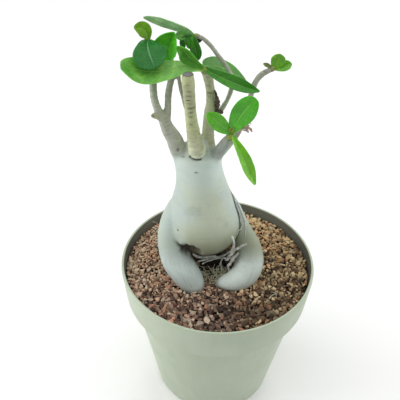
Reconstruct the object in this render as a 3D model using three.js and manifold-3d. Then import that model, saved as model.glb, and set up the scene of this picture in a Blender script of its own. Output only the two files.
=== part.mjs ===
// A young desert rose (adenium) in a round plastic pot, filled with crushed red gravel.
// Millimetres, +Z up, +X to the right, -Y towards the front; the origin is the middle of the
// pot's underside.
import * as THREE from 'three';
import { mergeGeometries, mergeVertices } from 'three/addons/utils/BufferGeometryUtils.js';
import Module from 'manifold-3d';

const wasm = await Module();
wasm.setup();

// Driving dimensions
const SEAT_GAP = 0.3;
const ROOM_ROUND_PLANT = 0.345;
const POT_HEIGHT = 122;
const POT_WALL = 2.2;
const POT_FLOOR = 3;
const RIM_RADIUS = 70;
const RIM_LIP = 1.2;
const ROUND_SEGMENTS = 64;
const COLLAR_HEIGHT = 28;
const COLLAR_LOW_RADIUS = 67;
const COLLAR_ROUNDING = 2.4;
const BODY_TOP_RADIUS = 62;
const BASE_RADIUS = 45;
const BASE_CHAMFER = 1.5;
const DRAIN_COUNT = 8;
const DRAIN_RADIUS = 3.5;
const DRAIN_CIRCLE = 30;
const DRAIN_SEGMENTS = 16;
const SLOT_COUNT = 4;
const SLOT_WIDTH = 7;
const SLOT_HEIGHT = 1.6;
const GRAVEL_TOP = 113.2;
const GRAIN_PITCH = 6;
const GRAIN_RISE = 1.9;
const GRAIN_LOWEST_PEAK = 0.5;
const GRAIN_HIGHEST_PIT = 0.3;
const GRAIN_STRAY = 0.25;
const LEAF_THICKNESS = 0.7;
const LEAF_WAVES = 2;
const LEAF_WAVE_LAG = 1.3;
const LEAF_BUD_RADIUS = 1.7;
const LEAF_BUD_LENGTH = 3.2;
const SMALL_BUD_LENGTH = 2.4;
const LEAF_BUD_TIP_RADIUS = 0.6;

const ROUND = 2 * Math.PI;

// ---------------------------------------------------------------- solids from geometries

// The geometry as a solid: its shared corners are merged first, so that it is one closed body.
function solid(geometry) {
  const bare = geometry.index ? geometry.clone() : mergeVertices(geometry);
  bare.deleteAttribute('normal');
  bare.deleteAttribute('uv');
  const merged = mergeVertices(bare, 1e-4);
  const vertProperties = new Float32Array(merged.attributes.position.array);
  const triVerts = new Uint32Array(merged.index.array);
  return new wasm.Manifold(new wasm.Mesh({ numProp: 3, vertProperties, triVerts }));
}

function fused(solids) {
  return solids.reduce((whole, piece) => whole.add(piece));
}

// The largest of the separate bodies in a solid, so that a scrap left by a cut is dropped.
function largestBody(whole) {
  return whole.decompose().reduce((a, b) => (b.volume() > a.volume() ? b : a));
}

function meshOf(name, body, { color, roughness, metalness = 0 }) {
  const { vertProperties, triVerts } = body.getMesh();
  const geometry = new THREE.BufferGeometry();
  geometry.setAttribute('position', new THREE.BufferAttribute(vertProperties, 3));
  geometry.setIndex(new THREE.BufferAttribute(triVerts, 1));
  geometry.computeVertexNormals();
  const mesh = new THREE.Mesh(geometry, new THREE.MeshStandardMaterial({ color, roughness, metalness }));
  mesh.name = name;
  return mesh;
}

// A turned body: the profile holds [radius, height] pairs, from the axis at the bottom, out and
// up, and back to the axis.
function turned(profile, segments) {
  const points = profile.map(([radius, height]) => new THREE.Vector2(radius, height));
  const lathe = new THREE.LatheGeometry(points, segments);
  lathe.rotateX(Math.PI / 2);
  return solid(lathe);
}

// ---------------------------------------------------------------- pot

function bodyRadius(height) {
  const collarFoot = POT_HEIGHT - COLLAR_HEIGHT;
  return BASE_RADIUS + ((BODY_TOP_RADIUS - BASE_RADIUS) * height) / collarFoot;
}

function collarRadius(height) {
  const share = (height - POT_HEIGHT + COLLAR_HEIGHT) / COLLAR_HEIGHT;
  return COLLAR_LOW_RADIUS + (RIM_RADIUS - COLLAR_LOW_RADIUS) * share;
}

// The hollow of the pot, from the floor up to a height in the collar, kept clear of the wall.
function hollowProfile(top, clearance) {
  const inset = POT_WALL + clearance;
  const shoulder = POT_HEIGHT - COLLAR_HEIGHT;
  const floor = POT_FLOOR + clearance;
  return [
    [0, floor],
    [bodyRadius(floor) - inset, floor],
    [bodyRadius(shoulder) - inset, shoulder + clearance],
    [collarRadius(shoulder + POT_WALL) - inset, shoulder + POT_WALL + clearance],
    [collarRadius(top) - inset, top],
    [0, top],
  ];
}

function pot() {
  const shoulder = POT_HEIGHT - COLLAR_HEIGHT;
  const outside = turned(
    [
      [0, 0],
      [BASE_RADIUS - BASE_CHAMFER, 0],
      [bodyRadius(BASE_CHAMFER), BASE_CHAMFER],
      [bodyRadius(shoulder - COLLAR_ROUNDING), shoulder - COLLAR_ROUNDING],
      [bodyRadius(shoulder) + 0.25 * COLLAR_ROUNDING, shoulder - 0.15 * COLLAR_ROUNDING],
      [COLLAR_LOW_RADIUS - COLLAR_ROUNDING, shoulder],
      [COLLAR_LOW_RADIUS - 0.3 * COLLAR_ROUNDING, shoulder + 0.3 * COLLAR_ROUNDING],
      [collarRadius(shoulder + COLLAR_ROUNDING), shoulder + COLLAR_ROUNDING],
      [collarRadius(POT_HEIGHT - RIM_LIP), POT_HEIGHT - RIM_LIP],
      [RIM_RADIUS - 0.3 * RIM_LIP, POT_HEIGHT - 0.3 * RIM_LIP],
      [RIM_RADIUS - RIM_LIP, POT_HEIGHT],
      [0, POT_HEIGHT],
    ],
    ROUND_SEGMENTS,
  );
  const hollow = turned(hollowProfile(POT_HEIGHT + POT_WALL, 0), ROUND_SEGMENTS);
  let body = outside.subtract(hollow);
  for (let i = 0; i < DRAIN_COUNT; i += 1) {
    const angle = (ROUND * (i + 0.5)) / DRAIN_COUNT;
    const hole = new THREE.CylinderGeometry(DRAIN_RADIUS, DRAIN_RADIUS, 4 * POT_FLOOR, DRAIN_SEGMENTS);
    hole.rotateX(Math.PI / 2);
    hole.translate(DRAIN_CIRCLE * Math.cos(angle), DRAIN_CIRCLE * Math.sin(angle), 0);
    body = body.subtract(solid(hole));
  }
  // Low slots from the drain holes out through the foot let the water run off.
  const slotLength = BASE_RADIUS - DRAIN_CIRCLE + 2 * POT_WALL;
  for (let i = 0; i < SLOT_COUNT; i += 1) {
    const slot = new THREE.BoxGeometry(slotLength, SLOT_WIDTH, 2 * SLOT_HEIGHT);
    slot.translate(DRAIN_CIRCLE + slotLength / 2, 0, 0);
    slot.rotateZ((ROUND * i) / SLOT_COUNT + ROUND / DRAIN_COUNT / 2);
    body = body.subtract(solid(slot));
  }
  return body;
}

// ---------------------------------------------------------------- limbs

// A limb is a round rod along a smooth curve. Each knot is [x, y, z, radius]. Swelling it by the
// seat gap gives the room that it needs in what it stands in.
function limb({ knots, sides = 9, steps = 10 }, swelling = 0) {
  const curve = new THREE.CatmullRomCurve3(knots.map(([x, y, z]) => new THREE.Vector3(x, y, z)));
  const girth = new THREE.SplineCurve(knots.map(([, , , radius], i) => new THREE.Vector2(i, radius)));
  const frames = curve.computeFrenetFrames(steps, false);
  const rod = new THREE.CylinderGeometry(1, 1, 1, sides, steps);
  const place = rod.attributes.position;
  for (let i = 0; i < place.count; i += 1) {
    const step = Math.round((place.getY(i) + 0.5) * steps);
    const along = step / steps;
    const radius = girth.getPoint(curve.getUtoTmapping(along)).y + swelling;
    const point = curve.getPointAt(along);
    point.addScaledVector(frames.binormals[step], place.getX(i) * radius);
    point.addScaledVector(frames.normals[step], place.getZ(i) * radius);
    if (step === 0) point.addScaledVector(frames.tangents[step], -swelling);
    if (step === steps) point.addScaledVector(frames.tangents[step], swelling);
    place.setXYZ(i, point.x, point.y, point.z);
  }
  return solid(rod);
}

// The swollen stem and its roots.
const CAUDEX = [
  // the bottle, from its underside up to the crown that the branches leave
  {
    knots: [
      [-8.5, 8, 134, 9],
      [-8.5, 7, 137.5, 17.5],
      [-8.8, 6, 142.5, 22.8],
      [-9.4, 5.4, 149, 25.4],
      [-10.4, 5, 157, 25.5],
      [-11.6, 4.6, 166, 23.4],
      [-12.4, 4.4, 175, 20.8],
      [-13.2, 4, 185, 17.8],
      [-14.4, 3.6, 195, 15.9],
      [-15.4, 3.2, 204, 15.3],
      [-16, 3, 210, 15.6],
      [-16.2, 3, 214, 13.5],
      [-16.2, 3, 217, 8],
    ],
    sides: 20,
    steps: 18,
  },
  // the root stock under it, which stands in the gravel behind the hollow
  {
    knots: [
      [-7, 10, 140, 18],
      [-7, 13, 124, 17],
      [-7, 14, 112, 15.5],
      [-7, 14, 98, 10],
    ],
    sides: 12,
    steps: 5,
  },
  // the left leg root
  {
    knots: [
      [-19.5, 6, 176, 9],
      [-25, 5, 165, 11],
      [-29.6, 2.5, 152, 12],
      [-31, -2.5, 139, 12.2],
      [-28.5, -9, 129, 12],
      [-23.5, -14.4, 121, 11.6],
      [-19, -17, 113, 10.4],
      [-16, -18, 105, 7],
    ],
    sides: 14,
    steps: 13,
  },
  // the right leg root, which leaves the bottle high and curls forward to a point
  {
    knots: [
      [4, 7, 178, 3.4],
      [9.6, 5, 169, 4.8],
      [13.8, 2.4, 159.5, 6.4],
      [17.8, 0.4, 149, 8],
      [21.6, -2, 137.6, 9.6],
      [22.8, -6, 127, 10.4],
      [19.6, -12, 120, 10],
      [12.4, -16.3, 116.6, 8.2],
      [5.4, -16.8, 114.6, 5.6],
      [0, -15.4, 111.5, 3],
    ],
    sides: 12,
    steps: 17,
  },
  // the two rear buttress roots
  {
    knots: [
      [-18, 14, 156, 9],
      [-24, 21, 142, 10],
      [-28, 27.5, 128, 9.6],
      [-30, 32, 116, 8.4],
      [-31, 34, 104, 5],
    ],
    sides: 10,
    steps: 7,
  },
  {
    knots: [
      [0, 16, 154, 9],
      [7, 23, 141, 10],
      [11.5, 29, 128, 9.4],
      [13, 33, 116, 8],
      [14, 35, 104, 5],
    ],
    sides: 10,
    steps: 7,
  },
  // thin wiry roots in the crevice and across the hollow
  {
    knots: [
      [9, -5, 174, 1],
      [13.6, -9.5, 162, 1.2],
      [14.6, -13, 150, 1.2],
      [12, -15, 140, 1.1],
      [9, -13.6, 128, 1],
      [6, -11.4, 112, 0.9],
    ],
    sides: 5,
    steps: 9,
  },
  {
    knots: [
      [-21, -9, 128, 1.4],
      [-13, -11.5, 126, 1.2],
      [-4, -10.5, 125.4, 1.1],
      [4, -9, 127, 1.2],
      [13, -6, 130, 1.5],
    ],
    sides: 5,
    steps: 7,
  },
  {
    knots: [
      [5, 2, 133, 1.6],
      [6.4, -6, 125, 1.3],
      [8, -10.6, 118, 1.1],
      [8.6, -11.4, 109, 1],
    ],
    sides: 5,
    steps: 5,
  },
  {
    knots: [
      [-3, 1, 126, 1.3],
      [-5, -7, 119, 1.1],
      [-9, -11, 115, 1],
      [-12, -12, 109, 0.9],
    ],
    sides: 5,
    steps: 5,
  },
];

// The branches. The last knot of a leafy one carries its leaf bud.
const LEFT_BRANCH = [
  [-23.5, 2, 206, 6.4],
  [-27.6, 1, 214.5, 5.7],
  [-31.2, 0.2, 225, 5],
  [-34.2, 0, 233.8, 4.4],
  [-36.4, 1, 240.6, 4.5],
  [-37.4, 2, 243.6, 3],
];
const LEFT_OUTER_BRANCH = [
  [-36, 0.8, 239, 3.4],
  [-39.6, 2.8, 243.4, 2.8],
  [-42.2, 5.4, 247.2, 2.5],
  [-43.6, 9.5, 251.9, 2.4],
  [-43.6, 13.4, 257.2, 2.3],
  [-44, 16.2, 264, 2.1],
  [-45, 17, 272, 1.9],
  [-46, 16.2, 280.4, 1.7],
];
const LEFT_INNER_BRANCH = [
  [-36.2, 2, 239.5, 3],
  [-35.4, 4.6, 245, 2.2],
  [-34.6, 8.5, 252.6, 2],
  [-32.8, 11.5, 259.4, 2],
  [-32, 13.6, 265, 1.9],
];
const LEFT_STUB = [
  [-37, 0.6, 240.4, 2.4],
  [-40, -1, 241.8, 2.1],
  [-42.4, -2, 243, 1.8],
];
const THIN_BACK_BRANCH = [
  [-19.6, 7, 210, 2.4],
  [-21, 8, 222, 1.7],
  [-22, 8.5, 234, 1.5],
  [-24.6, 9, 245, 1.4],
  [-26.8, 10.5, 253.4, 1.4],
  [-28.4, 12.5, 261, 1.3],
  [-28.8, 14.5, 267.6, 1.2],
];
const PRUNED_BRANCH = [
  [-15, -2.5, 208, 4.6],
  [-15.6, -6, 215, 6.2],
  [-16.6, -8, 221.6, 5.4],
  [-17.8, -8.8, 229, 4.5],
  [-19, -9, 237.4, 4],
  [-20.3, -9, 247, 3.6],
  [-21.3, -9, 258.4, 3.6],
  [-22, -9, 268, 3.8],
  [-22.2, -9, 272.4, 3.5],
];
const CENTRE_BRANCH = [
  [-10, 3.5, 206, 5.6],
  [-9.2, 4.4, 216, 4.6],
  [-9.6, 5.2, 226, 3.9],
  [-9.3, 5.6, 235.4, 3.8],
  [-8.9, 5.6, 242, 3.4],
  [-8.8, 5.3, 249, 2.8],
  [-9.6, 4.6, 257.5, 2.7],
  [-11.2, 3.8, 264.6, 2.8],
  [-12.8, 3, 269.4, 2.4],
];
const RIGHT_LOW_BRANCH = [
  [-8.4, 0.5, 205, 5.4],
  [-4.6, -2, 213.4, 4.4],
  [-1, -5.2, 222, 3.5],
  [1.6, -8.4, 229, 3],
  [3.2, -10.6, 233, 2.5],
];
const FAR_RIGHT_BRANCH = [
  [-5.6, 3, 207, 3.6],
  [1, 4.4, 214.6, 2.7],
  [7.4, 6.6, 222, 2],
  [11.4, 9, 229.5, 1.8],
  [14.3, 11, 239.6, 1.75],
  [16, 12, 249, 1.8],
  [18.1, 12.2, 258, 1.9],
  [21, 12.2, 264, 1.8],
  [25.2, 12, 268, 1.6],
];
const ARCHING_BRANCH = [
  [-9, 6, 239.4, 2],
  [-5.6, 7, 240.2, 2],
  [-2.4, 8, 241, 1.8],
  [0.4, 9, 245.2, 1.55],
  [3, 9.8, 251.4, 1.5],
  [4, 10, 258, 1.45],
  [3, 10, 264.2, 1.45],
  [0, 9.8, 269.8, 1.45],
  [-5, 9.2, 276.8, 1.4],
  [-9.8, 8.6, 283.4, 1.35],
  [-14, 8.2, 287.6, 1.3],
  [-17, 8, 289, 1.3],
];

const BRANCHES = [
  { knots: LEFT_BRANCH, sides: 10, steps: 8 },
  { knots: LEFT_OUTER_BRANCH, sides: 7, steps: 12 },
  { knots: LEFT_INNER_BRANCH, sides: 7, steps: 7 },
  { knots: LEFT_STUB, sides: 8, steps: 3 },
  { knots: THIN_BACK_BRANCH, sides: 6, steps: 9 },
  { knots: PRUNED_BRANCH, sides: 10, steps: 12 },
  { knots: CENTRE_BRANCH, sides: 9, steps: 12 },
  { knots: RIGHT_LOW_BRANCH, sides: 9, steps: 6 },
  { knots: FAR_RIGHT_BRANCH, sides: 6, steps: 14 },
  { knots: ARCHING_BRANCH, sides: 6, steps: 17 },
];

function plant(swelling) {
  return fused([...CAUDEX, ...BRANCHES].map((shape) => limb(shape, swelling)));
}

// ---------------------------------------------------------------- gravel

// A seeded generator of numbers from 0 to 1, so that the grains lie alike each time.
function seededDraw(seed) {
  const multiplier = 16807;
  const modulus = 2 ** 31 - 1;
  let state = seed;
  return () => {
    state = (state * multiplier) % modulus;
    return state / modulus;
  };
}

// The gravel's top is a triangular lattice whose every third corner is the peak of a grain.
function gravelBlock() {
  const spacing = GRAIN_PITCH / Math.sqrt(3);
  const rowSpacing = (spacing * Math.sqrt(3)) / 2;
  const rows = Math.ceil((2 * RIM_RADIUS) / rowSpacing / 2) * 2;
  const columns = Math.ceil((2 * RIM_RADIUS) / spacing + rows / 2);
  const slab = new THREE.BoxGeometry(columns, rows, 2, columns, rows, 1);
  const place = slab.attributes.position;
  const draw = seededDraw(41);
  const stray = () => spacing * GRAIN_STRAY * (2 * draw() - 1);
  const corners = new Map();
  for (let i = 0; i < place.count; i += 1) {
    const column = Math.round(place.getX(i) + columns / 2);
    const row = Math.round(place.getY(i) + rows / 2);
    const key = `${column} ${row}`;
    if (!corners.has(key)) {
      const isPeak = (column + row) % 3 === 0;
      const peak = GRAIN_LOWEST_PEAK + (1 - GRAIN_LOWEST_PEAK) * draw();
      const share = isPeak ? peak : GRAIN_HIGHEST_PIT * draw();
      corners.set(key, { rise: GRAIN_RISE * share, east: stray(), north: stray() });
    }
    const { rise, east, north } = corners.get(key);
    const x = (column - columns / 2 - (row - rows / 2) / 2) * spacing;
    const y = (row - rows / 2) * rowSpacing;
    const top = place.getZ(i) > 0;
    place.setXYZ(i, x + east, y + north, top ? GRAVEL_TOP + rise : -POT_FLOOR);
  }
  return solid(slab);
}

function gravel(roomForPlant) {
  const filling = turned(hollowProfile(POT_HEIGHT, SEAT_GAP), ROUND_SEGMENTS);
  return largestBody(filling.intersect(gravelBlock()).subtract(roomForPlant));
}

// ---------------------------------------------------------------- leaves

// A leaf blade is a thin sheet along its midrib, obovate, folded up a little about the midrib and
// waved along its margin. Both faces are split into triangles alike.
//   rib     the midrib's points, from the stalk to the tip
//   face    the way that the upper face looks
//   width   the width at the widest place, and widest, how far along that is
//   fold    the angle in degrees that each half is raised by
//   blunt   how round the outline is, from 1, a plain bow, down to 0.5, nearly an oval
//   stalk   the width at the stalk and, as tip, at the tip, as shares of the widest
//   wave    the height of the margin's waves
//   across  the cells across the blade and, as along, from its stalk to its tip
function blade(leaf) {
  const { rib, face, width, widest = 0.62, fold = 12, blunt = 0.7 } = leaf;
  const { stalk = 0.15, tip = 0.1, wave = 0, across = 4, along = 7 } = leaf;
  const curve = new THREE.CatmullRomCurve3(rib.map(([x, y, z]) => new THREE.Vector3(x, y, z)));
  const looks = new THREE.Vector3(...face).normalize();
  const skew = Math.log(0.5) / Math.log(widest);
  const sheets = [1, -1].map((side) => {
    const sheet = new THREE.PlaneGeometry(2, 1, across, along);
    const place = sheet.attributes.position;
    for (let i = 0; i < place.count; i += 1) {
      const u = place.getX(i);
      const v = place.getY(i) + 0.5;
      const tangent = curve.getTangentAt(v);
      const normal = looks.clone().addScaledVector(tangent, -looks.dot(tangent)).normalize();
      const sideways = tangent.clone().cross(normal);
      const swell = Math.max(Math.sin(Math.PI * v ** skew), 0) ** blunt;
      const end = stalk + (tip - stalk) * v;
      const half = (width / 2) * (end + (1 - end) * swell);
      const raise = THREE.MathUtils.degToRad(fold);
      const phase = LEAF_WAVES * ROUND * v + (u > 0 ? 0 : LEAF_WAVE_LAG);
      const ripple = wave * Math.sin(phase) * u * u * swell;
      const point = curve.getPointAt(v);
      point.addScaledVector(sideways, u * half * Math.cos(raise));
      point.addScaledVector(normal, Math.abs(u) * half * Math.sin(raise) + ripple);
      point.addScaledVector(normal, (side * LEAF_THICKNESS) / 2);
      place.setXYZ(i, point.x, point.y, point.z);
    }
    return sheet;
  });
  return solid(closedBetween(sheets[0], sheets[1], across, along));
}

// Joins an upper and a lower sheet of one grid into a closed body, by a wall round their edge.
function closedBetween(upper, lower, across, along) {
  const row = across + 1;
  const edge = [];
  for (let j = 0; j < along; j += 1) edge.push(j * row);
  for (let i = 0; i < across; i += 1) edge.push(along * row + i);
  for (let j = along; j > 0; j -= 1) edge.push(j * row + across);
  for (let i = across; i > 0; i -= 1) edge.push(i);
  const under = row * (along + 1);
  const index = [...upper.index.array];
  for (let i = 0; i < lower.index.array.length; i += 3) {
    const [a, b, c] = lower.index.array.slice(i, i + 3);
    index.push(under + a, under + c, under + b);
  }
  edge.forEach((from, i) => {
    const to = edge[(i + 1) % edge.length];
    index.push(to, from, under + from, to, under + from, under + to);
  });
  const both = mergeGeometries([upper, lower]);
  both.setIndex(index);
  return both;
}

// A shoot is the bud on a branch's end, fused with the leaves that stand in it.
function shoot(branch, leaves, roomForPlant, budLength = LEAF_BUD_LENGTH) {
  const end = new THREE.Vector3(...branch[branch.length - 1]);
  const before = new THREE.Vector3(...branch[branch.length - 2]);
  const radius = branch[branch.length - 1][3];
  const heading = end.clone().sub(before).normalize();
  const foot = end.clone().addScaledVector(heading, SEAT_GAP);
  const middle = foot.clone().addScaledVector(heading, budLength / 2);
  const top = foot.clone().addScaledVector(heading, budLength);
  const knots = [
    [...foot, radius],
    [...middle, Math.max(radius, LEAF_BUD_RADIUS)],
    [...top, LEAF_BUD_TIP_RADIUS],
  ];
  const bud = limb({ knots, sides: 8, steps: 4 });
  const whole = fused([bud, ...leaves.map((leaf) => blade(leaf))]);
  return largestBody(whole.subtract(roomForPlant));
}

// Small leaves need fewer cells.
const SMALL = { across: 2, along: 5 };

const CENTRE_LEAVES = [
  {
    rib: [
      [-13, 3.2, 271.4],
      [-23, 3, 272.2],
      [-33.4, 2.4, 271.8],
      [-44.6, 0.4, 271.8],
      [-53.6, -2.4, 274.2],
      [-60.6, -4.6, 278.6],
    ],
    face: [0.1, -0.5, 1], width: 19,
    widest: 0.66, fold: 5, blunt: 0.75, stalk: 0.24, tip: 0.25, wave: 0.8, along: 9,
  },
  {
    rib: [[-12.6, 2, 271.4], [-6, -0.4, 270], [3.3, -2, 266.2], [11.6, -3, 262.8], [18, -4, 261]],
    face: [0.2, -0.62, 0.6], width: 11.5, widest: 0.5, fold: 34, blunt: 0.9, stalk: 0.25, tip: 0.08,
  },
  {
    rib: [[-12.6, 4.4, 271.4], [-9, 8.4, 272.6], [-2, 14, 268.8], [5.4, 18.4, 262.4], [11.6, 20.6, 255.6]],
    face: [0.3, 0.1, 1], width: 14, widest: 0.6, fold: 18, blunt: 0.8, stalk: 0.25,
  },
  {
    rib: [
      [-13.4, 2.6, 271.6],
      [-17.6, 1.4, 275.4],
      [-22, 0.6, 280.4],
      [-26, 0.6, 284.4],
      [-29.4, 1, 287.4],
    ],
    face: [-0.5, -0.7, 0.5], width: 8.6, widest: 0.5, fold: 24, blunt: 0.8, stalk: 0.2,
  },
];

const LEFT_LEAVES = [
  {
    rib: [
      [-46.2, 15.6, 282.6],
      [-46, 10.6, 283.2],
      [-44.6, 4, 280.8],
      [-42.4, -1, 276.8],
      [-41, -3.4, 274],
    ],
    face: [-0.1, -0.5, 1], width: 20.5,
    widest: 0.58, fold: 4, blunt: 0.55, stalk: 0.14, tip: 0.2, wave: 0.6, along: 8,
  },
  {
    rib: [[-46.4, 15.4, 283], [-47.4, 13.6, 286.4], [-49.2, 12, 291], [-51.6, 11.6, 295.6]],
    face: [-0.15, -1, 0.4], width: 11.5, widest: 0.66, fold: 26, blunt: 0.75, stalk: 0.16, along: 6,
  },
];

const LEFT_INNER_LEAVES = [
  {
    rib: [[-32, 14.4, 266.4], [-32.4, 15, 273.5], [-31.8, 14.2, 280.4], [-30, 13.6, 288]],
    face: [-0.4, -0.9, 0.2], width: 18, widest: 0.66, fold: 24, blunt: 0.7, stalk: 0.16,
  },
];

const BACK_LEAVES = [
  {
    rib: [[-18, 8, 289.4], [-22, 8.4, 290.8], [-30, 9.2, 293.2], [-39.6, 10.4, 295.6], [-48.4, 12, 297.8]],
    face: [0.1, 0.75, 0.7], width: 9, widest: 0.6, fold: 10, blunt: 0.7, stalk: 0.2, across: 2,
  },
  {
    rib: [[-18, 7.8, 289.8], [-21.6, 5.6, 291.4], [-25, 3.6, 291.4], [-28, 2.4, 289.4]],
    face: [-0.2, -0.9, 0.6], width: 7, widest: 0.6, fold: 10, blunt: 0.6, stalk: 0.2, ...SMALL,
  },
  {
    rib: [[-18, 8, 289], [-21.8, 6, 287.4], [-24.6, 4.4, 284], [-26, 3.6, 280]],
    face: [-0.4, -0.8, 0.3], width: 7, widest: 0.55, fold: 14, blunt: 0.8, stalk: 0.2, ...SMALL,
  },
  {
    rib: [[-18, 7.8, 289.6], [-18.2, 6.4, 286], [-17.4, 5.6, 281.4], [-17.2, 5.4, 276.6]],
    face: [0.1, -1, 0.2], width: 8, widest: 0.6, fold: 16, blunt: 0.8, stalk: 0.2, ...SMALL,
  },
  {
    rib: [[-17.8, 8.6, 289.4], [-16, 11, 288], [-14.6, 12.6, 285], [-14.4, 13.4, 281]],
    face: [0.6, 0.5, 0.4], width: 6, widest: 0.6, fold: 16, blunt: 0.8, stalk: 0.25, ...SMALL,
  },
];

const RIGHT_LOW_LEAVES = [
  {
    rib: [[3.4, -11, 235], [0, -13, 239.6], [-5, -15, 245], [-10.6, -16, 249.6]],
    face: [0.1, -0.8, 0.6], width: 9.5, widest: 0.6, fold: 12, blunt: 0.65, stalk: 0.2, along: 6,
  },
  {
    rib: [[3.6, -11, 235], [5.4, -12.4, 240.4], [9.4, -13.8, 248.6], [13.6, -14.8, 255.4], [17, -15, 260]],
    face: [0.25, -0.85, 0.5], width: 14.4,
    widest: 0.64, fold: 10, blunt: 0.56, stalk: 0.16, tip: 0.2, wave: 0.5,
  },
  {
    rib: [[3.6, -11, 234.8], [6, -14, 231.4], [9.6, -16, 223.6], [14.4, -16.6, 213], [19.6, -17, 202]],
    face: [0.75, -0.6, 0.1], width: 9.5, widest: 0.55, fold: 26, blunt: 0.9, stalk: 0.2,
  },
];

const FAR_RIGHT_LEAVES = [
  {
    rib: [[26, 12, 268.6], [28, 11.6, 272], [29.6, 11.2, 275.4], [31, 11, 278]],
    face: [-0.2, -0.9, 0.5], width: 8.6, widest: 0.58, fold: 8, blunt: 0.5, stalk: 0.2, ...SMALL,
  },
  {
    rib: [[26, 12, 268.4], [30, 11.2, 268.6], [34, 10.4, 269.6], [38, 9.6, 271]],
    face: [0, -0.8, 0.75], width: 7, widest: 0.62, fold: 10, blunt: 0.55, stalk: 0.2, ...SMALL,
  },
  {
    rib: [[25.6, 12.4, 268.8], [23.6, 12.6, 270.6], [21.2, 12.8, 271.6]],
    face: [0.2, -0.7, 0.7], width: 3,
    widest: 0.6, fold: 12, blunt: 0.7, stalk: 0.35, across: 2, along: 3,
  },
];

// ---------------------------------------------------------------- dry bits

// The stump of a dry flower stalk, which stands on the far right branch.
const FLOWER_STALK = [
  {
    knots: [
      [9.8, 6.4, 225.6, 0.9],
      [12.4, 5, 228.2, 0.8],
      [15.6, 4.2, 230.4, 0.9],
    ],
    sides: 6,
    steps: 4,
  },
  {
    knots: [
      [14.6, 4.4, 229.8, 1.1],
      [16.4, 4, 231, 1.5],
      [17.6, 3.8, 231.6, 0.7],
    ],
    sides: 6,
    steps: 3,
  },
];

// A dark dry bud scale, which lies along the centre branch above its node.
const DRY_SCALE = [
  {
    knots: [
      [-4.8, 3.6, 243.6, 0.9],
      [-4.2, 3, 248, 1.5],
      [-4.9, 2.4, 253, 1.4],
      [-6.6, 2, 257.4, 0.6],
    ],
    sides: 7,
    steps: 6,
  },
];

function dryBit(limbs, roomForPlant) {
  return largestBody(fused(limbs.map((shape) => limb(shape))).subtract(roomForPlant));
}

// ---------------------------------------------------------------- assembly

const BARK = { color: 0xa9ae95, roughness: 0.75 };
const GREEN = { color: 0x3f8f2a, roughness: 0.4 };
const DEEP_GREEN = { color: 0x2f7f4a, roughness: 0.4 };
const YOUNG_GREEN = { color: 0x6aa52c, roughness: 0.45 };
const DRY = { color: 0x6d4a3a, roughness: 0.9 };

const roomForPlant = plant(ROOM_ROUND_PLANT);

const group = new THREE.Group();
group.add(
  meshOf('pot', pot(), { color: 0xb4baa2, roughness: 0.55 }),
  meshOf('gravel', gravel(roomForPlant), { color: 0x8d5a4c, roughness: 0.95 }),
  meshOf('caudex_and_branches', plant(0), BARK),
  meshOf('shoot_centre', shoot(CENTRE_BRANCH, CENTRE_LEAVES, roomForPlant), GREEN),
  meshOf('shoot_left', shoot(LEFT_OUTER_BRANCH, LEFT_LEAVES, roomForPlant), DEEP_GREEN),
  meshOf('shoot_left_inner', shoot(LEFT_INNER_BRANCH, LEFT_INNER_LEAVES, roomForPlant), GREEN),
  meshOf('shoot_back', shoot(ARCHING_BRANCH, BACK_LEAVES, roomForPlant, SMALL_BUD_LENGTH), DEEP_GREEN),
  meshOf('shoot_right_low', shoot(RIGHT_LOW_BRANCH, RIGHT_LOW_LEAVES, roomForPlant), GREEN),
  meshOf('shoot_far_right', shoot(FAR_RIGHT_BRANCH, FAR_RIGHT_LEAVES, roomForPlant), YOUNG_GREEN),
  meshOf('dry_flower_stalk', dryBit(FLOWER_STALK, roomForPlant), DRY),
  meshOf('dry_bud_scale', dryBit(DRY_SCALE, roomForPlant), DRY),
);

export default group;
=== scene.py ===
import math
import random

import bmesh
import bpy
from mathutils import Matrix, Vector, kdtree, noise
from mathutils.bvhtree import BVHTree


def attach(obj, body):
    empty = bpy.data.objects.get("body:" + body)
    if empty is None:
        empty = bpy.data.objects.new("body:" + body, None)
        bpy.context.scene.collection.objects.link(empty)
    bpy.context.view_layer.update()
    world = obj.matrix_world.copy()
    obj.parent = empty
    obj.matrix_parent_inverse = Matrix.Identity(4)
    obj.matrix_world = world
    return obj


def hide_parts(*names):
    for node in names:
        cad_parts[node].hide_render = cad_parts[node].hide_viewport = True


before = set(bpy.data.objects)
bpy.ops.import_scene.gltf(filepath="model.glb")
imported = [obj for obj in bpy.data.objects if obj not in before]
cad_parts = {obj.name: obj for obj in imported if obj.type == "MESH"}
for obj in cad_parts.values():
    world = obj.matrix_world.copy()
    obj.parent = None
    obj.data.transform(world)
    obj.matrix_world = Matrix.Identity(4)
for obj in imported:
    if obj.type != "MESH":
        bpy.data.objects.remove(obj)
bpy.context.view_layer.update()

# ---------------------------------------------------------------- pot
# A round culture pot of sage-green polypropylene, moulded in one shot with its gate under the
# floor: a tapered body, a deep stepped collar with a rounded lip, eight drain holes, and four
# low slots that lead from them out through the foot.
MM = 0.001
TURN = 2 * math.pi
POT_STEPS = 160
POT_OUTLINE = [  # radius, height, rounding, in millimetres
    (0, 0.4, 0), (1.1, 0.4, 0.15), (1.3, 0.9, 0.15), (5.2, 0.9, 0.2), (5.8, 0, 0.2),
    (43.4, 0, 0.4), (45.27, 1.5, 0.7), (61.7, 92.9, 0.8), (62.1, 94, 0.5), (66.95, 94, 2.2),
    (69.86, 121.2, 0.8), (69.2, 122, 0.6), (67.8, 122, 0.6), (65.05, 96.2, 1), (59.8, 94, 1),
    (43.35, 3, 1), (0, 3, 0),
]
DRAINS, DRAIN_RADIUS, DRAIN_CIRCLE = 8, 3.5, 30
SLOTS, SLOT_SIZE = 4, (21, 7, 3.2)
POT_WELL = 2.5  # the inside, darkened as dust and as painted shade, starts above this height
PLASTIC_PALE = (0.435, 0.50, 0.38, 1)
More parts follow.
